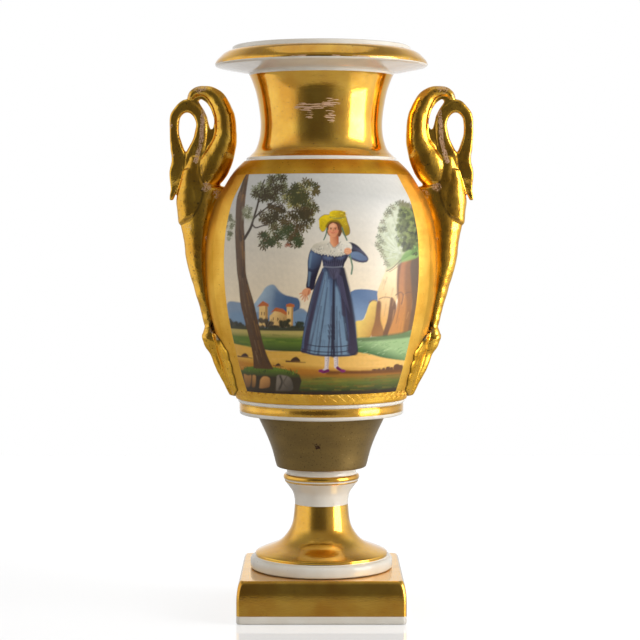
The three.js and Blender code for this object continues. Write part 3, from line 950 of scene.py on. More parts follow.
patch([(45.5, 197), (49.5, 201), (50.6, 186.5), (49.5, 173), (47.4, 159), (44.6, 160), (46.4, 176),
       (45, 186)], (112, 80, 54), soft=1.6, strength=0.65)
stroke([(42.5, 196), (41.6, 186), (42.4, 176), (40.6, 166)], 0.8, (132, 86, 50), end_width=0.4, soft=0.8,
       strength=0.7)
patch([(42, 192), (43.5, 200), (41.5, 200), (40.7, 190), (41, 180), (41.8, 182)], (104, 72, 48), soft=1.0,
      strength=0.85)
patch([(48.4, 196), (51, 203), (58, 204), (58, 158), (48, 158.5), (48.4, 168), (49.6, 178.5)], (98, 78, 62),
      fade=((120, 88, 60), (53, 190), (52, 162)), soft=1.0)
for points, width, colour in [
        ([(40.2, 181.5), (43, 183), (44.5, 181), (43.5, 176.5)], 0.5, (116, 82, 58)),
        ([(44.5, 181.5), (47, 182.8), (50, 182.5)], 0.45, (116, 82, 58)),
        ([(31, 179.6), (34, 180.6), (37, 180.2)], 0.5, (150, 112, 76)),
        ([(25.5, 177.8), (27.5, 179), (29.5, 178.6)], 0.5, (120, 92, 76))]:
    stroke(points, width, colour, soft=0.5)
dashes(22, (33, 48), (165, 192), -1, (-3, -7), 0.6, [(216, 164, 108), (150, 106, 68)], end_width=0.2,
       strength=0.35, soft=0.7)
patch([(18.5, 158), (25, 158.8), (34.5, 159), (43, 159.8), (56, 161.5), (56, 144), (48.5, 144.3),
       (34.5, 147), (26.5, 149.5), (18.5, 151.5)], (158, 184, 132), fade=((74, 108, 64), (36, 153),
        (34, 147.5)), soft=0.6)
patch([(18.5, 158.4), (30, 159.3), (56, 161.8), (56, 158.5), (34, 157), (20, 156.6)], (84, 104, 66),
      soft=1.2, strength=0.8)
dashes(60, (20, 50), (149, 157.5), (1, 3), (0.4, 1.0), 0.4, [(112, 148, 92), (182, 202, 156),
        (92, 128, 78)], level=lambda x: (20 - x) * 0.06, end_width=0.2, strength=0.6, soft=0.4)
stroke([(28, 140.6), (36, 140), (45, 139.6)], 1.0, (96, 62, 34), soft=0.8)
for x, size in [(29, 0.7), (31.5, 0.8), (34, 0.9), (36.5, 1.3), (38.5, 1.0), (41.5, 2.0), (43.5, 1.6)]:
    spot((x, 140.2 + size * 0.5), size, size, (98, 66, 42), soft=0.5)

# The foreground: dark turf, and at the left a bank with rock faces under its grass.
stroke([(4, 140), (20, 139.4), (34, 139.2), (56, 138.5)], 1.6, (112, 70, 32), soft=1.2)
patch([(-14, 138.6), (10, 138.4), (30, 138), (56, 137), (56, 126), (-14, 126)], (150, 104, 46),
      fade=((104, 108, 48), (0, 138), (0, 134.5)), soft=1.0, round_off=False)
patch([(-14, 133.4), (56, 134.5), (56, 126), (-14, 126)], (92, 98, 42), fade=((44, 50, 26), (0, 133), (0,
        129)), soft=2.0, round_off=False)
dashes(70, (-12, 44), (129, 137), (3, 9), (-0.4, 0.4), 0.7,
       [(136, 124, 54), (70, 84, 36), (118, 86, 38), (96, 110, 52)], end_width=0.3, strength=0.5, soft=0.6)
patch([(-56, 139), (-43.5, 139.5), (-41, 141.5), (-34.5, 142.7), (-25, 142.2), (-17, 140.7), (-12, 138.5),
       (-10.8, 135), (-12, 130.5), (-14, 126), (-56, 126)], (92, 112, 42), fade=((58, 48, 32), (0, 141), (0,
        136.5)), soft=0.6, round_off=False)
for points, face, shade_side in [
        ([(-43, 137), (-40.5, 136.6), (-38.6, 136.6), (-39.6, 130.4), (-42.5, 130.6)],
         (168, 122, 74), (110, 78, 48)),
        ([(-38, 136.6), (-36, 136.5), (-36.6, 130.6), (-38.4, 130.8)], (176, 130, 80), (118, 84, 50)),
        ([(-33.6, 134.5), (-31.5, 136.8), (-28.4, 136), (-28.2, 132), (-29.5, 130.6), (-34.2, 130)],
         (198, 146, 92), (140, 98, 60)),
        ([(-24.4, 137.2), (-20, 137.8), (-17, 136.5), (-15.6, 133), (-16.4, 129.4), (-25, 128.8)],
         (126, 114, 100), (84, 76, 66))]:
    patch(points, face, fade=(shade_side, points[1], points[3]), soft=0.7)
stroke([(-22.5, 137.4), (-21.5, 134), (-23, 130)], 1.1, (66, 58, 48), soft=0.8)
stroke([(-19, 137), (-20.6, 133.5), (-18.6, 131)], 0.6, (84, 76, 64), soft=0.6)
dashes(46, (-48, -13), (-1.6, 1.2), (-1, 1), (0.7, 1.6), 0.5, [(70, 88, 34), (112, 130, 56), (48, 58, 24)],
       level=lambda x: 140.6 - 0.0035 * (x + 31) ** 2, end_width=0.2, strength=0.8, soft=0.4)
patch([(-56, 128.8), (56, 129.6), (56, 126), (-56, 126)], (54, 40, 22), soft=1.0, round_off=False)

# The leaning tree at the left: a brown trunk with bark strokes, branches, and sprays of small leaves.
trunk_left = [(-42, 247.5), (-44.5, 240), (-46.5, 233), (-47, 219.5), (-47, 212.5), (-46, 195),
              (-45, 187.5), (-44, 176.5), (-42, 168), (-39, 156), (-37.5, 148), (-37.2, 141)]
trunk_right = [(-39.8, 247.5), (-41, 238.5), (-41.5, 233), (-42, 219.5), (-41.5, 212.5), (-41, 195),
               (-39.5, 187.5), (-36.5, 177), (-34.5, 168), (-32, 156.5), (-29.5, 148.5), (-26, 141)]
trunk_outline = smooth_line(trunk_left, 44) + smooth_line(trunk_right, 44)[::-1]
patch(trunk_outline, (96, 74, 56), fade=((84, 58, 34), (-44, 225), (-34, 150)), soft=0.4, round_off=False)
trunk_edges = np.array([trunk_left, trunk_right])
for _ in range(110):
    row = brush.uniform(0, 10.4)
    step = int(row)
    share = brush.uniform(0.04, 0.96)
    start, end = (trunk_edges[0, at] * (1 - share) + trunk_edges[1, at] * share for at in (step, step + 1))
    first = start + (end - start) * (row - step)
    last = first + (end - start) * brush.uniform(0.3, 0.8)
    dark = (58, 42, 32) if share > 0.45 else (84, 68, 56)
    light = (134, 106, 80) if share < 0.6 else (150, 108, 60)
    stroke([tuple(first), tuple(last)], 0.6, brush.choice([dark, dark, light]), end_width=0.2, strength=0.5,
           soft=0.5)
branch_colour = (78, 66, 54)
branches = [
    ([(-41.8, 212), (-38.5, 217.5), (-37, 222), (-34.5, 230.5), (-33, 238.5), (-31, 244)], 1.6, 0.7),
    ([(-37, 222.5), (-34, 225.5), (-30.5, 228), (-26.5, 231.5), (-24.5, 233.5)], 1.0, 0.5),
    ([(-27.5, 231), (-25.5, 229.5), (-23, 229.5), (-20.5, 230)], 0.7, 0.4),
    ([(-24, 229.5), (-21.5, 228.5), (-18.5, 226.5), (-14.5, 227)], 0.7, 0.4),
    ([(-37.5, 220), (-35.5, 218), (-32, 219), (-28.5, 219.5)], 0.9, 0.5),
    ([(-22, 235.5), (-19.5, 237), (-15.5, 239), (-12, 239)], 0.7, 0.4),
    ([(-42.4, 246), (-43.2, 242), (-44, 238)], 1.0, 0.8),
    ([(-47, 221), (-49, 222.5), (-51, 221.5)], 0.9, 0.5)]
for points, width, tip in branches:
    stroke(points, width, branch_colour, end_width=tip, soft=0.4)


def spray(centre, reach, colour, strength=1.0):
    """One spray of leaves: short dabs fanning out from a stalk."""
    turn = brush.uniform(0, ROUND)
    count = brush.randint(6, 8)
    for i in range(count):
        angle = turn + i * ROUND / count + brush.uniform(-0.2, 0.2)
        length = reach * brush.uniform(0.75, 1.1)
        middle = (centre[0] + 0.62 * length * math.cos(angle), centre[1] + 0.62 * length * math.sin(angle))
        spot(middle, 0.46 * length, 0.1 * length + 0.12, colour, soft=0.22, strength=strength, lean=angle)


def foliage(clumps, tones, pale, density, reach):
    """Clumps of leaves: a pale wash first, then sprays from light to dark, thickest in their middles."""
    for x, y, width, height in clumps:
        for _ in range(int(16 * density)):
            spot(in_oval(x, y, width, height, 0.85), 2.2, 1.8, pale, soft=2.0, strength=0.26)
    for tone, share, spread in tones:
        for x, y, width, height in clumps:
            for _ in range(int(width * height * share * density)):
                angle, far = brush.uniform(0, ROUND), math.sqrt(brush.random()) * spread
                place = (x + width * far * math.cos(angle), y + height * far * math.sin(angle))
                spray(place, reach * brush.uniform(0.8, 1.15), tone)


for clumps, tones, pale, density, reach in [
        ([(-50.5, 219, 3, 8), (-39.5, 225.5, 3, 4.5)],
         [((134, 134, 106), 0.5, 1.0), ((96, 96, 68), 0.35, 0.85)], (182, 180, 156), 0.9, 1.5),
        ([(-24, 242.5, 6, 4.5), (-33, 236, 5, 5.5), (-25.5, 236, 8, 4.5)],
         [((122, 124, 92), 0.35, 1.0), ((86, 82, 54), 0.4, 0.9), ((64, 54, 36), 0.3, 0.75)],
         (166, 168, 144), 0.78, 2.2),
        ([(-9.5, 239, 8, 5), (-12.5, 233.5, 9, 4.8), (-7, 228.5, 5, 3.4)],
         [((142, 134, 82), 0.35, 1.0), ((88, 76, 44), 0.45, 0.95), ((66, 66, 38), 0.4, 0.8)],
         (172, 170, 144), 0.78, 2.2),
        ([(-25.5, 225, 8, 5.5), (-10.5, 223, 7, 6.5)],
         [((104, 96, 60), 0.35, 1.0), ((74, 60, 38), 0.5, 0.95), ((62, 54, 34), 0.35, 0.7)],
         (176, 174, 152), 0.78, 2.2),
        ([(-19.5, 216, 8, 5.5), (-28.5, 211.5, 6.5, 5.5), (-13.5, 211.5, 4.5, 5)],
         [((100, 98, 62), 0.35, 1.05), ((82, 66, 42), 0.4, 1.0), ((62, 70, 42), 0.3, 0.65)],
         (166, 168, 140), 0.78, 2.2)]:
    foliage(clumps, tones, pale, density, reach)
for x, y in [(-19, 208.4), (-18, 209.2), (-17.2, 208.6)]:
    spray((x, y), 1.0, (150, 76, 48), 0.85)
    spray((x + 0.8, y + 0.8), 1.1, (72, 60, 38), 0.8)
for points, width, tip in branches[:6]:
    stroke(points, width * 0.7, (58, 48, 40), end_width=tip * 0.6, soft=0.3, strength=0.75)

# The bush on the bank: pale feathery leaves in the light, dark green behind, brown buds round its edge.
patch([(35.5, 229), (43.5, 231), (44, 211.5), (45, 204), (42, 199), (35.5, 195), (34.5, 199.5), (31.5, 205),
       (29.3, 208.5), (30.5, 215.5), (32, 220), (34, 226)], (188, 192, 166),
      fade=((168, 176, 134), (36, 226), (40, 200)), soft=2.2, strength=0.9)
patch([(42.5, 231), (45, 231), (48.5, 229.5), (52, 227), (56, 222), (56, 204), (48.5, 204), (44.5, 205),
       (43, 211.5), (41.5, 219.5)], (104, 112, 68), fade=((86, 88, 58), (46, 228), (53, 208)), soft=1.6)
patch([(42, 199), (45, 204.5), (53, 209), (54, 203), (47, 200)], (132, 160, 92), soft=1.2)
for _ in range(46):
    angle = math.radians(brush.uniform(84, 206))
    reach = brush.uniform(8, 26) * (1 - 0.42 * max(0, -math.cos(angle)))
    x, y = 42.5 + reach * math.cos(angle), 205 + reach * math.sin(angle)
    stroke([(43, 204), ((43 + x) / 2 + 0.8, (204 + y) / 2 - 0.6), (x, y)], 0.2,
           brush.choice([(150, 156, 122), (206, 210, 190)]), end_width=0.35, strength=0.5, soft=0.3)
for count, x_range, y_range, (x_middle, y_middle), (wide, tall), size, tones, strength in [
        (90, (30, 44), (198, 231), (39, 213), (72, 300), 1.1,
         [(150, 156, 124), (198, 202, 178), (174, 178, 144)], 0.5),
        (260, (40, 55), (203, 231), (48.4, 217), (62, 220), 1.2,
         [(62, 70, 34), (128, 138, 78), (44, 46, 24), (90, 98, 52)], 0.85)]:
    for _ in range(count):
        x, y = brush.uniform(*x_range), brush.uniform(*y_range)
        if (x - x_middle) ** 2 / wide + (y - y_middle) ** 2 / tall < 1:
            spray((x, y), size, brush.choice(tones), strength)
for x, y in [(35.5, 228), (34, 225.6), (32.4, 221.8), (31, 217.6), (30.2, 213.6), (29.4, 209.4),
             (31, 206.6), (32.6, 203.4), (34.2, 199.4), (37.6, 229.8), (41, 231.8), (42.8, 232.2),
             (44.4, 231.6), (46.6, 230.8), (49.4, 229.6), (36.4, 226.8), (33, 218), (31.8, 211)]:
    spray((x + 0.6, y - 0.4), 1.7, brush.choice([(98, 84, 58), (76, 76, 50), (112, 106, 76)]), 0.9)
    spray((x + 1.8, y - 1.6), 1.3, (128, 126, 94), 0.7)
for i in range(16):
    x = 42.5 + i * 0.62
    stroke([(x, 199.6 + i * 0.36), (x + 2.4, 203.6 + i * 0.3)], 0.35, (96, 132, 66), end_width=0.2,
           strength=0.8)
stroke([(35, 194.6), (38.5, 196.4), (43, 200.6)], 0.5, (112, 98, 78), soft=0.4)
stroke([(36.6, 194.2), (40, 196.2), (43.6, 199.4)], 0.35, (130, 116, 92), soft=0.4)

# The figure: a country girl in a blue dress, a lace collar and a straw hat. She is nobody in particular.
# Her shadow, legs and shoes come first, then the skirt with its folds, the bodice, arms, collar and head.
dress = (82, 98, 124)
dress_light = (118, 140, 160)
dress_dark = (38, 34, 50)
dress_plum = (58, 48, 66)
dress_blue = (88, 104, 146)
skin_tone = (216, 152, 114)
skin_shade = (164, 92, 64)
for x, y, width in [(12, 140.2, 9), (22, 139.8, 11), (3, 139.2, 6)]:
    stroke([(x, y), (x + width, y - 0.3)], 1.3, (110, 66, 30), end_width=0.5, soft=1.0, strength=0.8)
for knee_x, (x, y), toe in [(2.9, (2.6, 141.8), (-0.2, 140.7)), (7.6, (7.8, 143.2), (11.6, 140.6))]:
    instep = (x + toe[0]) / 2
    stroke([(knee_x, 150), ((knee_x + x) / 2 + 0.2, 146), (x, y)], 2.6, (216, 202, 198), end_width=2.0,
           soft=0.5)
    stroke([(knee_x + 0.9, 149), (x + 0.8, 142.6)], 0.7, (160, 140, 140), end_width=0.5, soft=0.5,
           strength=0.8)
    stroke([(x + 0.3, y - 0.3), (instep, (y + toe[1]) / 2 - 0.3), toe], 2.0, (206, 190, 190), end_width=1.2,
           soft=0.4)
    stroke([(x + 0.9, y - 0.9), (instep, y - 1.7), toe], 1.7, (104, 34, 78), end_width=1.5, soft=0.35)
    spot(toe, 1.5, 0.85, (124, 46, 96), soft=0.4)
    for i in range(5):
        spot((knee_x - 0.2 + 0.3 * (i % 2), 149 - 1.3 * i), 0.22, 0.22, (150, 130, 134), soft=0.3)

skirt = [(1.7, 197.2), (-0.5, 194), (-3.6, 186.5), (-6.2, 177.5), (-9, 165), (-10.7, 154), (-10.7, 151.6),
         (-6, 149.7), (-1, 149), (7.5, 148.5), (16.5, 149), (19, 151.6), (19.1, 154), (18.5, 165),
         (16.6, 177.5), (14.6, 186.5), (12.2, 194), (10.8, 197.2)]
patch(skirt, dress, fade=(dress_light, (6, 190), (-2, 160)), soft=0.4)


# The folds: long strokes that widen downwards.
for top, bottom, width, colour, strength in [
        ((2.6, 194), (-3.6, 152.6), 5.0, dress_light, 0.85), ((8.2, 186), (9.8, 152.4), 4.8, dress_light,
                0.85),
        ((3.8, 190), (1.6, 152), 3.6, dress_light, 0.7), ((10.4, 178), (12.4, 152.6), 1.6, dress_light,
                0.5),
        ((0.6, 194), (-9.6, 152), 3.0, dress_plum, 0.85), ((1.8, 190), (-6.6, 151), 1.2, dress_plum, 0.6),
        ((3.2, 186), (-1.8, 150), 1.2, dress_dark, 0.6), ((6.6, 194), (6.2, 149.5), 2.7, dress_dark, 0.95),
        ((5.4, 176), (3.6, 149.6), 1.0, dress_plum, 0.75), ((8.2, 176), (8.4, 149.8), 0.9, dress_dark, 0.7),
        ((11.6, 196), (17.4, 151.4), 5.2, dress_dark, 0.9), ((9.6, 192), (14.2, 158), 2.2, dress_dark,
                0.75),
        ((10.2, 196), (12.4, 172), 3.2, dress_plum, 0.8), ((12.6, 180), (15.6, 153), 1.2, dress_blue, 0.8),
        ((9.4, 168), (10.8, 150), 1.0, dress_plum, 0.7), ((-0.4, 176), (-3.6, 151), 0.7, dress_dark, 0.5)]:
    middle = ((top[0] + bottom[0]) / 2, (top[1] + bottom[1]) / 2)
    stroke([top, middle, bottom], width * 0.3, colour, end_width=width, soft=0.8, strength=strength)
for _ in range(44):
    x, y = brush.uniform(-8, 17), brush.uniform(152, 184)
    flare = (x - 5.5) * 0.08
    stroke([(x, y), (x + flare, y - 4)], 0.35, brush.choice([dress_dark, dress_plum, dress_light]),
           end_width=0.15, strength=0.45, soft=0.4)
for y in (152.6, 155.6):
    stroke([(-10.4, y + 0.3), (-3, y - 1.2), (6, y - 1.6), (13, y - 1.2), (18.8, y + 0.2)], 0.55,
           dress_dark, soft=0.4, strength=0.85)
stroke([(-10.5, 151.4), (-3, 149.6), (7.5, 149), (16.5, 149.4), (18.9, 151.6)], 1.0, dress_dark, soft=0.6,
       strength=0.85)
stroke([(0.8, 196), (-3.8, 186), (-8.8, 166), (-10.5, 153)], 0.5, dress_dark, soft=0.4, strength=0.8)
patch([(9, 196), (11.9, 196.4), (14.8, 186.5), (16.6, 177.5), (18.5, 165), (19, 152), (14, 150.4),
       (14.2, 160), (13, 172), (11, 184)], dress_dark, fade=(dress_plum, (14, 180), (18, 152)), soft=1.6,
      strength=0.92)
patch([(0.6, 195.5), (-3.4, 186.5), (-6, 177.5), (-8.8, 165), (-10.4, 153), (-7, 151.6), (-5.8, 164),
       (-3.6, 177), (-1.2, 188)], dress_plum, soft=1.4, strength=0.8)
stroke([(-7.6, 170), (-9.4, 160), (-10, 153.4)], 0.9, dress, soft=0.6, strength=0.8)
patch([(2.6, 196), (10.6, 196), (13.4, 186), (11.6, 181), (8.6, 186), (6.6, 190), (4.4, 192)], dress_dark,
      soft=1.8, strength=0.8)
for i in range(9):
    stroke([(7.2 + 0.45 * i, 195 - 0.4 * i), (9.2 + 0.75 * i, 185 - 1.6 * i)], 0.4, (96, 92, 118),
           end_width=0.15, strength=0.5, soft=0.4)
for i in range(12):
    stroke([(1.6 + 0.8 * i, 196), (0.6 + 0.95 * i, 190 - 0.3 * i)], 0.5, dress_dark, end_width=0.15,
           strength=0.6, soft=0.4)
for x in (3.6, 5.0, 6.4):
    for y in (160, 163, 166):
        stroke([(x, y), (x + 0.6, y - 1.6)], 0.7, dress_dark, soft=0.5, strength=0.6)

# The bodice, its gathers and the waistband.
patch([(-0.6, 206.5), (4, 208.5), (9, 208.5), (15.8, 206.5), (14.2, 202.5), (12.4, 199.2), (10.8, 196.8),
       (1.8, 196.8), (0.6, 199.5), (-0.4, 203)], (70, 74, 98), fade=(dress_dark, (4, 206), (10, 198.4)),
      soft=0.4)
patch([(1.2, 205), (5.4, 205), (6.2, 202.4), (4, 200.8), (1.2, 202)], (92, 104, 132), soft=1.2,
      strength=0.75)
patch([(8.4, 205), (12.6, 205), (12.2, 202.2), (10, 201), (8, 202.4)], (84, 94, 122), soft=1.2,
      strength=0.7)
stroke([(6.9, 204.5), (6.8, 198)], 0.7, dress_dark, soft=0.5, strength=0.8)
stroke([(1.2, 200.6), (4, 199.2), (6.8, 200.2), (10, 199.4), (12.6, 201)], 0.8, dress_dark, soft=0.6,
       strength=0.7)
for i in range(9):
    stroke([(2.6 + 1.0 * i, 197.6), (1.8 + 1.2 * i, 200.4 + 0.5 * (i % 3))], 0.4, (98, 94, 116),
           end_width=0.15, strength=0.55, soft=0.35)
stroke([(1.6, 197.3), (6.3, 196.9), (10.9, 197.3)], 0.7, (128, 130, 142), soft=0.4, strength=0.75)
stroke([(1.6, 196.5), (6.3, 196.1), (10.9, 196.5)], 0.5, dress_dark, soft=0.4, strength=0.7)
patch([(3.6, 196.2), (9.8, 196.2), (8.6, 192), (6.6, 190.6), (4.6, 192.4)], (88, 84, 102), soft=1.2,
      strength=0.6)
for x, y in [(4.8, 195.4), (6.2, 195.6), (7.8, 195.4)]:
    stroke([(x, y), (6.6, 191.4)], 0.35, dress_dark, end_width=0.2, strength=0.6, soft=0.3)

# The arm that hangs, on the left, with its cuff and open hand.
left_arm = [(-4, 207.8), (-6.2, 205), (-7.2, 200), (-7.2, 195), (-7.6, 190), (-8.1, 186.6), (-6.4, 184.6),
            (-4.1, 185.8), (-3.2, 190), (-1.6, 195.2), (-0.3, 199), (0, 204.5)]
patch(left_arm, dress, fade=(dress_dark, (-6.5, 200), (-1.5, 196)), soft=0.4)
stroke(rounded_loop(left_arm), 0.4, dress_dark, soft=0.3, strength=0.75, steps=1)
for start, end in [((-5.6, 204), (-6.4, 197)), ((-6.3, 194), (-6.9, 187))]:
    stroke([start, end], 1.4, dress_light, end_width=0.8, soft=0.8, strength=0.6)
for y in (195.4, 196.2):
    stroke([(-7, y), (-4.5, y - 0.8), (-1.4, y + 0.6)], 0.5, dress_dark, soft=0.4, strength=0.7)
stroke([(-7.8, 186.4), (-4.4, 185.4)], 0.7, dress_dark, soft=0.4, strength=0.8)
spot((-8.0, 183.8), 2.5, 1.9, skin_tone, soft=0.5, lean=0.35)
for x, y in [(-11.8, 182.6), (-11.4, 180.8), (-10.4, 179.4), (-9, 178.6), (-7.6, 179.6)]:
    stroke([(-8.2, 183.4), ((x - 8.2) / 2, (y + 183.4) / 2 + 0.3), (x, y)], 0.85, skin_tone, end_width=0.5,
           soft=0.35)
    stroke([(-8.6, 182.2), (x + 0.5, y + 0.4)], 0.22, skin_shade, soft=0.3, strength=0.6)
stroke([(-6.6, 184.4), (-7.2, 182)], 0.8, skin_shade, soft=0.5, strength=0.7)

# The arm that is raised, on the right.
patch([(12.4, 209.4), (15.8, 210.2), (19.2, 208.6), (21.8, 206), (24, 203.6), (25.2, 201.4), (24.2, 199.8),
       (21.6, 199.4), (18, 200.4), (15, 202.2), (12.8, 204.6)], dress_dark, fade=((60, 60, 84), (18, 208),
        (21, 203)), soft=0.4)
patch([(13.4, 204), (17, 205.2), (20.4, 204.8), (23.4, 202.8), (24.4, 201), (21.4, 200.4), (18, 201.4),
       (15, 202.8)], (112, 132, 158), fade=((84, 100, 130), (16, 204), (23, 201)), soft=0.6, strength=0.95)
stroke([(13.6, 204.6), (17, 205.8), (20.6, 205.2), (23.2, 203.2)], 0.6, dress_dark, soft=0.4, strength=0.85)
for i in range(7):
    stroke([(15.4 + i, 209 - 0.55 * i), (16.6 + i, 206.6 - 0.42 * i)], 0.4, (86, 86, 110), end_width=0.15,
           strength=0.6, soft=0.35)
for i in range(5):
    stroke([(15 + 1.7 * i, 203.9 - 0.2 * i), (16.6 + 1.7 * i, 202.6 - 0.28 * i)], 0.3, (84, 98, 128),
           soft=0.35, strength=0.5)
stroke([(14.6, 202.2), (18, 200.4), (21.8, 199.5), (24.4, 200)], 0.4, dress_dark, soft=0.3, strength=0.8)

# Collar, neck, hair, face and hat, then the hand at the collar and the ribbons.
patch([(4.4, 213.6), (8.8, 213.8), (9.2, 210.4), (10, 208.6), (6.6, 206.6), (3.6, 208.6), (4.6, 210.6)],
      skin_tone, fade=(skin_shade, (5.5, 211), (9, 212)), soft=0.35)
collar = [(-5.2, 207.2), (-3.4, 209.4), (1.8, 210.9), (4.2, 210.4), (6.8, 207.6), (10.2, 210.6),
          (11.8, 211.2), (15.4, 209.6), (16.2, 207.2), (14.8, 204.8), (11.6, 204.3), (7.6, 203.4),
          (3, 204.3), (-0.6, 204.4), (-2.4, 206)]
patch(collar, (196, 186, 166), fade=((222, 214, 198), (-4, 206), (12, 209)), soft=0.5)
stroke([(-5, 206.2), (-1.6, 203.9), (3, 203.1), (7.6, 202.4), (11.6, 203.1), (15.6, 204.8)], 0.9,
       dress_dark, soft=0.6, strength=0.65)
for i in range(11):
    x = -3.6 + 1.75 * i
    low = 202.7 + 0.022 * (x - 6.5) ** 2
    patch([(x - 1.1, low + 2), (x + 1.1, low + 2), (x + 0.1, low - 0.4 + 0.5 * (i % 2))], (200, 192, 174),
          soft=0.3, round_off=False)
for i in range(26):
    x = -4.4 + 0.76 * i
    top = (min(x, 3.6) if x < 6 else max(x, 9.6), 209.8 - 0.018 * (x - 6) ** 2)
    stroke([top, (x, 205.4 + 0.02 * (x - 6) ** 2)], 0.22, (148, 142, 134), soft=0.3, strength=0.45)
lace_edge = [(-4.6, 206.6), (-1.6, 204.9), (3, 204.2), (7.6, 203.4), (11.6, 204.2), (15.4, 205.4)]
for x, y in smooth_line(lace_edge, 14):
    spot((x, y), 0.85, 0.7, (206, 198, 180), soft=0.4)
    spot((x, y - 0.1), 0.28, 0.24, (104, 98, 104), soft=0.3, strength=0.8)
for _ in range(60):
    x, y = brush.uniform(-4, 15), brush.uniform(204.4, 210.2)
    if y < 210 - 0.035 * (x - 6.5) ** 2 and y < 207.8 + 0.5 * abs(x - 6.8):
        spot((x, y), 0.3, 0.26, brush.choice([(112, 104, 100), (232, 226, 212), (140, 132, 122)]), soft=0.3,
             strength=0.75)
stroke([(4.2, 210.3), (6.8, 207.3), (10.2, 210.5)], 0.45, (150, 138, 122), soft=0.35, strength=0.8)

face_x, face_y = 6.2, 216.9
hair_colour = (96, 58, 36)
patch([(2.6, 218.4), (3.6, 221.2), (6.4, 222.4), (9.6, 221.4), (11, 218.6), (10.8, 215.4), (9.6, 213.2),
       (8, 214), (4.4, 213.6), (2.9, 215.6)], hair_colour, soft=0.4)
spot((face_x, face_y), 2.95, 3.85, skin_tone, soft=0.5)
spot((face_x + 1.7, face_y - 0.4), 1.4, 3.0, skin_shade, soft=1.6, strength=0.4)
spot((face_x - 0.4, face_y + 2.1), 1.6, 0.9, (228, 180, 148), soft=0.9, strength=0.6)
for side in (-1, 1):
    spot((face_x + side * 1.55, face_y - 0.9), 0.8, 0.6, (214, 128, 106), soft=0.8, strength=0.6)
    spot((face_x + side * 1.15, face_y + 0.45), 0.42, 0.24, (56, 38, 30), soft=0.22)
    stroke([(face_x + side * 0.65, face_y + 1.1), (face_x + side * 1.7, face_y + 1.05)], 0.26,
           (104, 66, 44), soft=0.24, strength=0.8)
stroke([(face_x + 0.1, face_y + 0.5), (face_x + 0.22, face_y - 0.6)], 0.28, skin_shade, soft=0.3,
       strength=0.6)
stroke([(face_x - 0.3, face_y - 0.72), (face_x + 0.35, face_y - 0.72)], 0.24, skin_shade, soft=0.25,
       strength=0.7)
stroke([(face_x - 0.75, face_y - 1.6), (face_x, face_y - 1.68), (face_x + 0.75, face_y - 1.6)], 0.42,
       (176, 70, 66), end_width=0.3, soft=0.25)
for side in (-1, 1):
    stroke([(face_x + side * 0.3, 221.2), (face_x + side * 2.3, 219.8), (face_x + side * 2.9, 217.2)], 1.0,
           hair_colour, end_width=0.7, soft=0.35)

hat = (222, 192, 52)
hat_shade = (150, 122, 30)
hat_dark = (106, 82, 22)
brim = [(-1.4, 222.4), (1.2, 224.8), (4.6, 225), (12.2, 224.6), (14, 221), (15.2, 217), (14.8, 214.6),
        (12.6, 213.8), (11, 215.8), (10.6, 219), (8.6, 221), (5.2, 221.2), (3, 219.2), (1.8, 216.6),
        (0.2, 216), (-1.2, 218.4)]
patch(brim, hat, fade=(hat_shade, (3, 225), (12, 214.6)), soft=0.4)
stroke(rounded_loop(brim), 0.35, hat_dark, soft=0.3, strength=0.7, steps=1)
patch([(-1.1, 222), (0.6, 222.8), (3.4, 221.2), (2.6, 218.6), (1.2, 216.8), (-0.6, 218.2)], (196, 170, 52),
      soft=0.8, strength=0.8)
stroke([(2.4, 218.8), (4, 221), (6.6, 221.9), (9, 221.3), (10.8, 219)], 0.8, hat_dark, soft=0.5,
       strength=0.8)
patch([(4.4, 223.6), (4.7, 226.6), (8.5, 227.4), (12.6, 226.4), (12.3, 223.4), (8, 222.8)], hat,
      fade=(hat_shade, (5, 226), (12, 224)), soft=0.4)
stroke([(4.6, 223.7), (8.2, 222.9), (12.4, 223.5)], 0.8, (132, 134, 70), soft=0.4, strength=0.85)
dashes(26, (4.6, 12.4), (222.9, 226.8), 1.6, 0.2, 0.3, [(242, 220, 96), hat_shade, (196, 164, 44)],
       end_width=0.15, strength=0.6, soft=0.3)
for _ in range(22):
    angle = brush.uniform(0.1, math.pi - 0.1)
    x, y = 6.6 + 6.6 * math.cos(angle), 217 + 6.2 * math.sin(angle)
    stroke([(x, y), (x + 1.3 * math.cos(angle), y + 1.3 * math.sin(angle))], 0.3,
           brush.choice([(240, 216, 92), hat_shade]), end_width=0.15, strength=0.5, soft=0.3)
ribbon = (84, 110, 90)
for points, width, tip in [([(3, 217.6), (2.4, 214.4), (1.2, 211.6)], 0.75, 0.6),
                           ([(11, 218), (12, 215), (13.6, 211.4)], 0.85, 0.7)]:
    stroke(points, width, ribbon, end_width=tip, soft=0.3)
stroke([(15.2, 203.6), (16, 200), (16.5, 197), (16, 193.4)], 0.85, (104, 126, 104), end_width=0.9, soft=0.3)
spot((14, 205.6), 2.0, 1.75, skin_tone, soft=0.5)
for i in range(4):
    stroke([(13, 206.8 - 0.7 * i), (14.6, 206.6 - 0.75 * i)], 0.5, (226, 176, 142), end_width=0.4, soft=0.3,
           strength=0.8)
    stroke([(12.8, 206.4 - 0.7 * i), (14.4, 206.2 - 0.75 * i)], 0.22, skin_shade, soft=0.25, strength=0.6)

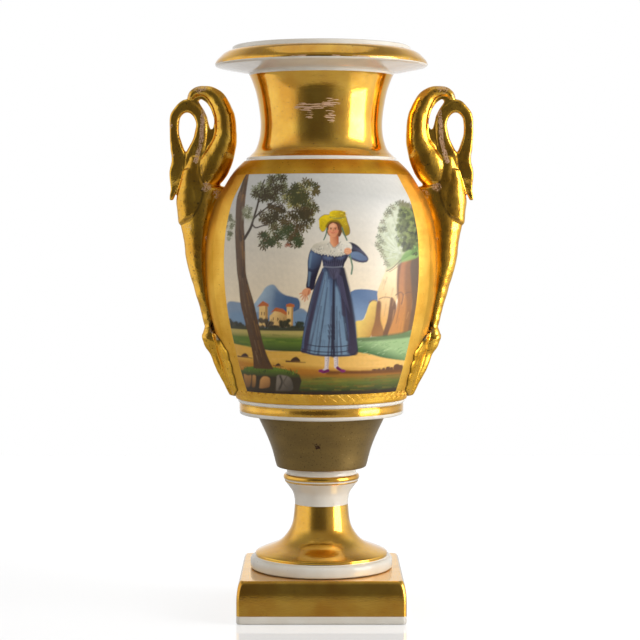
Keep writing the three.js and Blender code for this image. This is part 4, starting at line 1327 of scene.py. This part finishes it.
# The enamel lies a little unevenly, and a hair of brush texture shows in every colour.
canvas *= (1 + 0.02 * ripple(3, 2.4) + 0.02 * ripple(4, 7))[:, None]
grey = canvas.mean(1)[:, None]
canvas = np.clip(grey + (canvas - grey) * 1.12, 0, 1)
both_layers = np.ones((len(paint_mesh.vertices), 4), np.float32)
both_layers[:, :3] = np.concatenate([canvas, canvas])
paint_mesh.attributes.new("Enamel", "FLOAT_COLOR", "POINT").data.foreach_set("color", both_layers.ravel())
painted_glaze, paint_tree, paint_shader = finish_named("painted_glaze", Roughness=0.42, IOR=1.4)
enamel_colour = add_node(paint_tree, "Attribute", attribute_name="Enamel").outputs["Color"]
hair = ranged(paint_tree, grain(paint_tree, 1.2, detail=4.0), 0.3, 0.7, 0.975, 1.025)
varied = add_node(paint_tree, "VectorMath", operation="SCALE", inputs={0: enamel_colour, "Scale": hair})
paint_tree.links.new(varied.outputs[0], paint_shader.inputs["Base Color"])
bumped(paint_tree, paint_shader, [(grain(paint_tree, 6, detail=2.0), 0.03)])
paint_mesh.materials.append(painted_glaze)
painted_scene = placed("painted_scene", paint_mesh)
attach(painted_scene, "root")

# The handles: two swans with raised wings, each cast in a two-part mould, trimmed, and stuck to the vessel
# with slip before firing. They are gilded all over, and the gold is rubbed where hands take hold of them.
def rounded(stations, steps, sides, flat=0.5, dished=0.0, rib=0.0):
    """A closed form between two edges in the XZ plane. A station is X and Z on each edge, and half depth.

    A smaller flat makes the faces flatter; dished hollows them; rib raises them along edge B.
    """
    rib_place, rib_reach = 0.82, 0.16
    edge_a, edge_b = (smooth_line([station[at:at + 2] for station in stations], steps) for at in (0, 2))
    half_depth = smooth_line([(i, station[4]) for i, station in enumerate(stations)], steps)
    points, faces = [], []
    for a, b, (_, half) in zip(edge_a, edge_b, half_depth):
        for j in range(sides):
            angle = ROUND * j / sides
            across = math.cos(angle)
            share = (1 + across) / 2
            deep = math.copysign(abs(math.sin(angle)) ** (2 * flat), math.sin(angle))
            deep *= 1 - dished * (1 - across ** 2) + rib * math.exp(
                -((across - rib_place) / rib_reach) ** 2)
            points.append((a[0] + (b[0] - a[0]) * share, half * deep, a[1] + (b[1] - a[1]) * share))
    for row in range(steps):
        for j in range(sides):
            k = (j + 1) % sides
            faces.append((row * sides + j, row * sides + k, (row + 1) * sides + k, (row + 1) * sides + j))
    faces.append(tuple(reversed(range(sides))))
    faces.append(tuple(range(steps * sides, (steps + 1) * sides)))
    return formed("form", points, faces)


def applied(piece):
    """The piece's mesh with its modifiers made real."""
    depsgraph = bpy.context.evaluated_depsgraph_get()
    mesh = bpy.data.meshes.new_from_object(piece.evaluated_get(depsgraph))
    piece.modifiers.clear()
    piece.data = mesh
    return piece


def cut(piece, tool):
    """Takes the tool's solid away from the piece."""
    modifier = piece.modifiers.new("cut", "BOOLEAN")
    modifier.operation = "DIFFERENCE"
    modifier.solver = "EXACT"
    modifier.object = tool
    applied(piece)
    bpy.data.objects.remove(tool)


swan_neck = rounded([
    (64, 248, 78.5, 250, 6), (64.8, 256, 78.2, 257.5, 5.4), (65, 264, 74.8, 264, 4.8),
    (64.4, 270, 72.2, 270, 4.4), (64.5, 277, 71, 275.5, 4.2), (66.6, 283.5, 72, 279.5, 4.1),
    (70.8, 288.6, 74.5, 282.4, 4), (77, 290.3, 77.3, 282.6, 4), (82.2, 287, 79.8, 280.2, 4),
    (85.8, 281, 80.6, 275.8, 4), (86.7, 272, 80.2, 270, 4), (85.8, 263, 78.2, 263.6, 4.4),
    (85.2, 255.7, 75.8, 256, 4.8), (86.9, 248.8, 78.4, 247.5, 5.2), (86, 243.2, 80.4, 241.8, 3.9),
    (85.7, 239, 82.2, 238, 2.7), (86.6, 235.6, 83.6, 235, 2.1), (86.9, 233.8, 84.4, 233.6, 1.6)],
    170, 40, 0.4, 0.32)
wing = rounded([
    (63.4, 238.9, 68.4, 239.4, 3.4), (58.6, 241.4, 72, 243.4, 6), (54, 246.8, 72.4, 249.6, 7.2),
    (50.6, 253.4, 69.6, 256.4, 7.3), (48.8, 261, 64.8, 263, 7.1), (48, 269, 61.2, 269, 6.6),
    (48.4, 277, 60.4, 276.4, 6.2), (50.4, 285.3, 61.4, 283.6, 5.6), (55, 293, 64.4, 289.5, 5),
    (61.8, 297.6, 67.5, 291.8, 4.4), (69.4, 298, 70.5, 291.6, 4), (74.2, 295.2, 73, 289.4, 3.6),
    (75.8, 291.6, 74.6, 288, 2)], 130, 48, 0.5, 0.0, 0.12)
web = rounded([
    (60, 246, 72, 246, 3), (57, 258, 70, 258, 2.8), (56, 268, 68, 268, 2.6),
    (56, 276, 67, 276, 2.4), (58, 284, 69, 281, 2.4), (62, 292, 74, 284, 2.4),
    (70, 294, 77, 287, 2.4)], 60, 24)
slit_outline = smooth_line([(63, 273.6), (64, 278), (65.2, 282), (67.6, 286.2), (69.5, 289.3)], 16)
slit_outline += smooth_line([(68.3, 290.4), (64.8, 288.2), (62, 283.6), (60.9, 278), (61.6, 273.6)], 20)
slit_points = [(x, y, z) for y in (-12, 12) for x, z in slit_outline]
count = len(slit_outline)
slit_faces = [tuple(range(count)), tuple(reversed(range(count, 2 * count)))]
slit_faces += [(i, i + count, (i + 1) % count + count, (i + 1) % count) for i in range(count)]
cut(web, formed("slit", slit_points, slit_faces))
breast = rounded([
    (57, 150, 66, 151, 3.4), (58, 158, 66.2, 159.5, 3.6), (59.5, 170, 68.8, 170.5, 4.2),
    (61.5, 182, 72.3, 182.5, 5), (62, 195, 76, 196, 5.8), (61, 207, 78, 208, 6.4),
    (59, 218, 79.8, 218.5, 6.9), (55, 230, 81.2, 228.5, 7.4), (53.5, 240, 81.2, 235.5, 7.4),
    (60.5, 243, 80.2, 242, 7), (64, 250, 78.5, 250, 6.2), (66, 258, 76.5, 258, 4.5)],
    140, 48, 0.6)
# The feathers of the upper breast end in a low step, lower at the front than beside the body.
feathers = rounded([
    (67.4, 226.4, 80.6, 219.6, 7), (66, 228, 81.5, 221.6, 7.9), (65, 232, 82.3, 228, 8.4),
    (65.5, 238, 82.3, 234.4, 8.2), (66.5, 244, 81, 242, 7.5), (68, 252, 78.8, 250.4, 6.2)],
    60, 48, 0.5, 0.1)
leaf_rib = rounded([
    (47.5, 122, 52.2, 122.6, 2), (48.5, 127, 54.9, 127.2, 3.8), (50.5, 133, 58.3, 133.6, 4.8),
    (52.5, 140, 61.6, 140.4, 5), (55, 146, 63.6, 146.4, 4.4), (56.5, 150.4, 66.6, 151, 5.4),
    (57.5, 154.6, 68.2, 156, 5.9), (58.5, 159, 67, 160.6, 4.6), (59.5, 163, 65, 164, 2.4)],
    90, 40, 0.42)
# A ribbon ties the breast to the leaf: a soft band of clay lying slantwise across the stalk.
ribbon = rounded([
    (56.6, 149, 58, 153.4, 4.6), (60.4, 150.6, 61.6, 156, 6.2), (65, 152.2, 66, 158.4, 5.8),
    (68, 153.8, 68.4, 157.4, 3)], 40, 32, 0.42)

# The leaf spreads over the side of the body: a grid bent round it, raised in flutes inside the outline.
leaf_bottom, leaf_height, leaf_half_width, leaf_thickness, leaf_sunk = 122.4, 36.4, 27, 1.6, 1.5
lobe_count, lobe_depth, flute_count = 5, 0.05, 11
leaf_cells = 110


def leaf_width(share):
    """Half the leaf's width at a share of its height, round at both ends and notched between its lobes."""
    notch = 1 - lobe_depth * (1 - abs(math.sin(lobe_count * math.pi * share)))
    tip = min(1, (1 - share) / 0.25) ** 0.5
    foot_end = min(1, (share + 0.012) / 0.14) ** 0.5
    return leaf_half_width * (0.68 + 0.32 * math.sin(2.2 * share)) * (0.3 + 0.7 * tip) * foot_end * notch


def leaf_corner(layer, row, column):
    """The number of a point of the grid: layer 0 lies in the body and layer 1 on it."""
    return (layer * (leaf_cells + 1) + row) * (leaf_cells + 1) + column


steps = range(leaf_cells)
leaf_points, leaf_faces = [], []
for layer in (0, 1):
    for row in range(leaf_cells + 1):
        height = leaf_bottom + leaf_height * row / leaf_cells
        half = leaf_width(row / leaf_cells)
        for column in range(leaf_cells + 1):
            place = 2 * column / leaf_cells - 1
            flute = 0.62 + 0.38 * abs(math.cos(flute_count * math.pi * place / 2))
            lift = leaf_thickness * (1 - place ** 6) ** 0.5 * flute if layer else -leaf_sunk
            radius = float(body_radius(height)) + lift
            turn = math.pi / 2 + half * place / float(body_radius(height))
            leaf_points.append((radius * math.sin(turn), -radius * math.cos(turn), height))
    leaf_faces += [(leaf_corner(layer, row, column), leaf_corner(layer, row, column + 1),
                    leaf_corner(layer, row + 1, column + 1), leaf_corner(layer, row + 1, column))
                   for row in steps for column in steps]
for end in (0, leaf_cells):
    for i in steps:
        upright = [(i, end), (i + 1, end)]
        level = [(end, i), (end, i + 1)]
        for first, second in (upright, level):
            leaf_faces.append((leaf_corner(0, *first), leaf_corner(0, *second), leaf_corner(1, *second),
                               leaf_corner(1, *first)))
leaf_face = formed("leaf", leaf_points, leaf_faces)

swan = bmesh.new()
for form in (swan_neck, wing, web, breast, feathers, leaf_rib, ribbon, leaf_face):
    swan.from_mesh(form.data)
    bpy.data.objects.remove(form)
swan_mesh = bpy.data.meshes.new("swan")
swan.to_mesh(swan_mesh)
swan.free()
handle = bpy.data.objects.new("swan_right", swan_mesh)
bpy.context.collection.objects.link(handle)
melt = handle.modifiers.new("cast in one", "REMESH")
melt.mode = "VOXEL"
melt.voxel_size = 0.48 * MM
soften = handle.modifiers.new("soften", "SMOOTH")
soften.factor = 0.5
soften.iterations = 4
applied(handle)
# The body's own shape is taken away, but for a hair that the handle is let into it.
let_in = under_paint + 0.15
body_outline = body_run(ledge_top + 0.1, shoulder - 0.1, 60, let_in)
body_tool = turned(
    "body_tool", [(WHITE, [(0, 100), (body_outline[0][0], 100), *body_outline, (0, shoulder)])], [],
    [ROUND * i / 180 for i in range(180)])
cut(handle, body_tool)
# Small hollows are left between the ribbon and the stalk, on both faces.
hollows = [(61.7, 162, 1.3, 2.6), (57.8, 156.6, 1.1, 2.8)]
hollow_y, hollow_deep = 5.2, 3
nicks = bmesh.new()
for x, z, wide, tall in hollows:
    for side in (-1, 1):
        place = Matrix.Translation(Vector((x, side * hollow_y, z)) * MM)
        size = Matrix.Diagonal((wide * MM, hollow_deep * MM, tall * MM, 1))
        bmesh.ops.create_uvsphere(nicks, u_segments=14, v_segments=10, radius=1, matrix=place @ size)
nick_mesh = bpy.data.meshes.new("nicks")
nicks.to_mesh(nick_mesh)
nicks.free()
cut(handle, placed("nicks", nick_mesh))

# Fettling by hand leaves the surface a little uneven. The gold is rubbed off the neck, crown and wing foot,
# and shade is painted dark into the hollows, along the leaf's edge and along the step of the feathers.
rubbed_places = [
    (69, 298.6, 3.4, 0.9), (76.2, 293, 1.8, 0.9), (65, 240.8, 2.0, 1.0), (84.6, 259, 1.3, 0.7),
    (64.2, 212, 1.2, 1.0),
    (62.2, 159.6, 1.0, 0.9), (75, 218, 1.8, 0.55), (58.4, 236.6, 2.2, 0.7), (86, 276, 1.5, 0.7)]
neck_line = [(66.6, 284), (67.2, 279), (67.6, 273), (68, 267), (69.4, 261), (71, 255.4)]
rubbed_places += [(x, z, 0.85, 1.5) for x, z in smooth_line(neck_line, 30)]
feather_step = [(77.2, 222.4), (73.4, 224.2), (70, 228), (67, 236), (66.6, 245), (67.8, 253)]


def rippled(places, size):
    """Soft noise at each place; size is in millimetres."""
    return np.array([noise.noise(Vector(place) / (size * MM)) for place in places])


shape, outward = (vectors_of(handle.data.vertices, field) for field in ("co", "normal"))
from_axis = np.hypot(shape[:, 0], shape[:, 1]) / MM
clear_of_body = np.clip((from_axis - body_radius(shape[:, 2] / MM) - 0.4) / 1.5, 0, 1)
uneven = sum(depth * rippled(shape, size) for depth, size in [(0.55, 10.5), (0.14, 3.6)])
shape += outward * (uneven * clear_of_body * MM)[:, None]
# The outermost points are pressed in, so that the swan stays as wide as the frame's.
pressed_from = 0.084
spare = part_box("handle_right")[1].x - 0.05 * MM - pressed_from
pressed = pressed_from + spare * np.tanh((shape[:, 0] - pressed_from) / spare)
shape[:, 0] = np.where(shape[:, 0] > pressed_from, pressed, shape[:, 0])
handle.data.vertices.foreach_set("co", shape.ravel())

swan_x, swan_y, swan_z = shape.T / MM
rubbed = np.zeros(len(shape))
for x, z, reach, strength in rubbed_places:
    away = np.hypot(swan_x - x, swan_z - z) / reach
    rubbed = np.maximum(rubbed, strength * np.clip(1.9 - away, 0, 1))
rubbed *= 0.9 + 0.7 * rippled(shape, 2.2)
# Painted shade: the gold is made dark in the hollows, along the leaf's edge and along the feathers' step.
painted_shade = np.zeros(len(shape))
for x, z, wide, tall in hollows:
    away = np.hypot((swan_x - x) / wide, (swan_z - z) / tall)
    painted_shade = np.maximum(painted_shade, np.clip(1.9 - away, 0, 0.9))
round_body = np.arctan2(np.abs(swan_y), swan_x) * np.hypot(swan_x, swan_y)
leaf_share = np.clip((swan_z - leaf_bottom) / leaf_height, 0, 1)
from_edge = np.abs(round_body - np.array([leaf_width(share) for share in leaf_share]) + 0.2)
painted_shade = np.maximum(painted_shade, np.where(leaf_share < 0.97, np.clip(1 - from_edge / 0.7, 0, 0.75), 0))
for x, z in smooth_line(feather_step, 40):
    away = np.hypot(swan_x - x, swan_z - z) / 0.6
    painted_shade = np.maximum(painted_shade, 0.5 * np.clip(1.6 - away, 0, 1))
marked(handle.data, "PaintedShade", painted_shade)
marked(handle.data, "Rubbed", rubbed)
handle_scratch = (0.22, 0.22, 0.34)
leaf_gold_to = 155
swan_gold = gilding(
    "swan_gold", (246, 192, 60), (218, 156, 30), 0.17, rubbed=0.03, pits=0.09, coat=0.8,
    scratch=handle_scratch)
leaf_gold = gilding(
    "leaf_gold", (248, 198, 76), (226, 166, 46), 0.34, rubbed=0.03, pits=0.10, coat=0.1,
    scratch=handle_scratch)
handle.data.materials.clear()
for gold in (swan_gold, leaf_gold):
    handle.data.materials.append(gold)
middle_heights = vectors_of(handle.data.polygons, "center")[:, 2]
handle.data.polygons.foreach_set("material_index", (middle_heights < leaf_gold_to * MM).astype(int))
handle.data.polygons.foreach_set("use_smooth", [True] * len(handle.data.polygons))

# The left swan is the right one turned half round the urn.
handle_other = bpy.data.objects.new("swan_left", handle.data.copy())
handle_other.data.transform(Matrix.Rotation(math.pi, 4, "Z"))
bpy.context.collection.objects.link(handle_other)
for piece, side in ((handle, "right"), (handle_other, "left")):
    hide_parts("handle_" + side)
    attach(piece, "root")
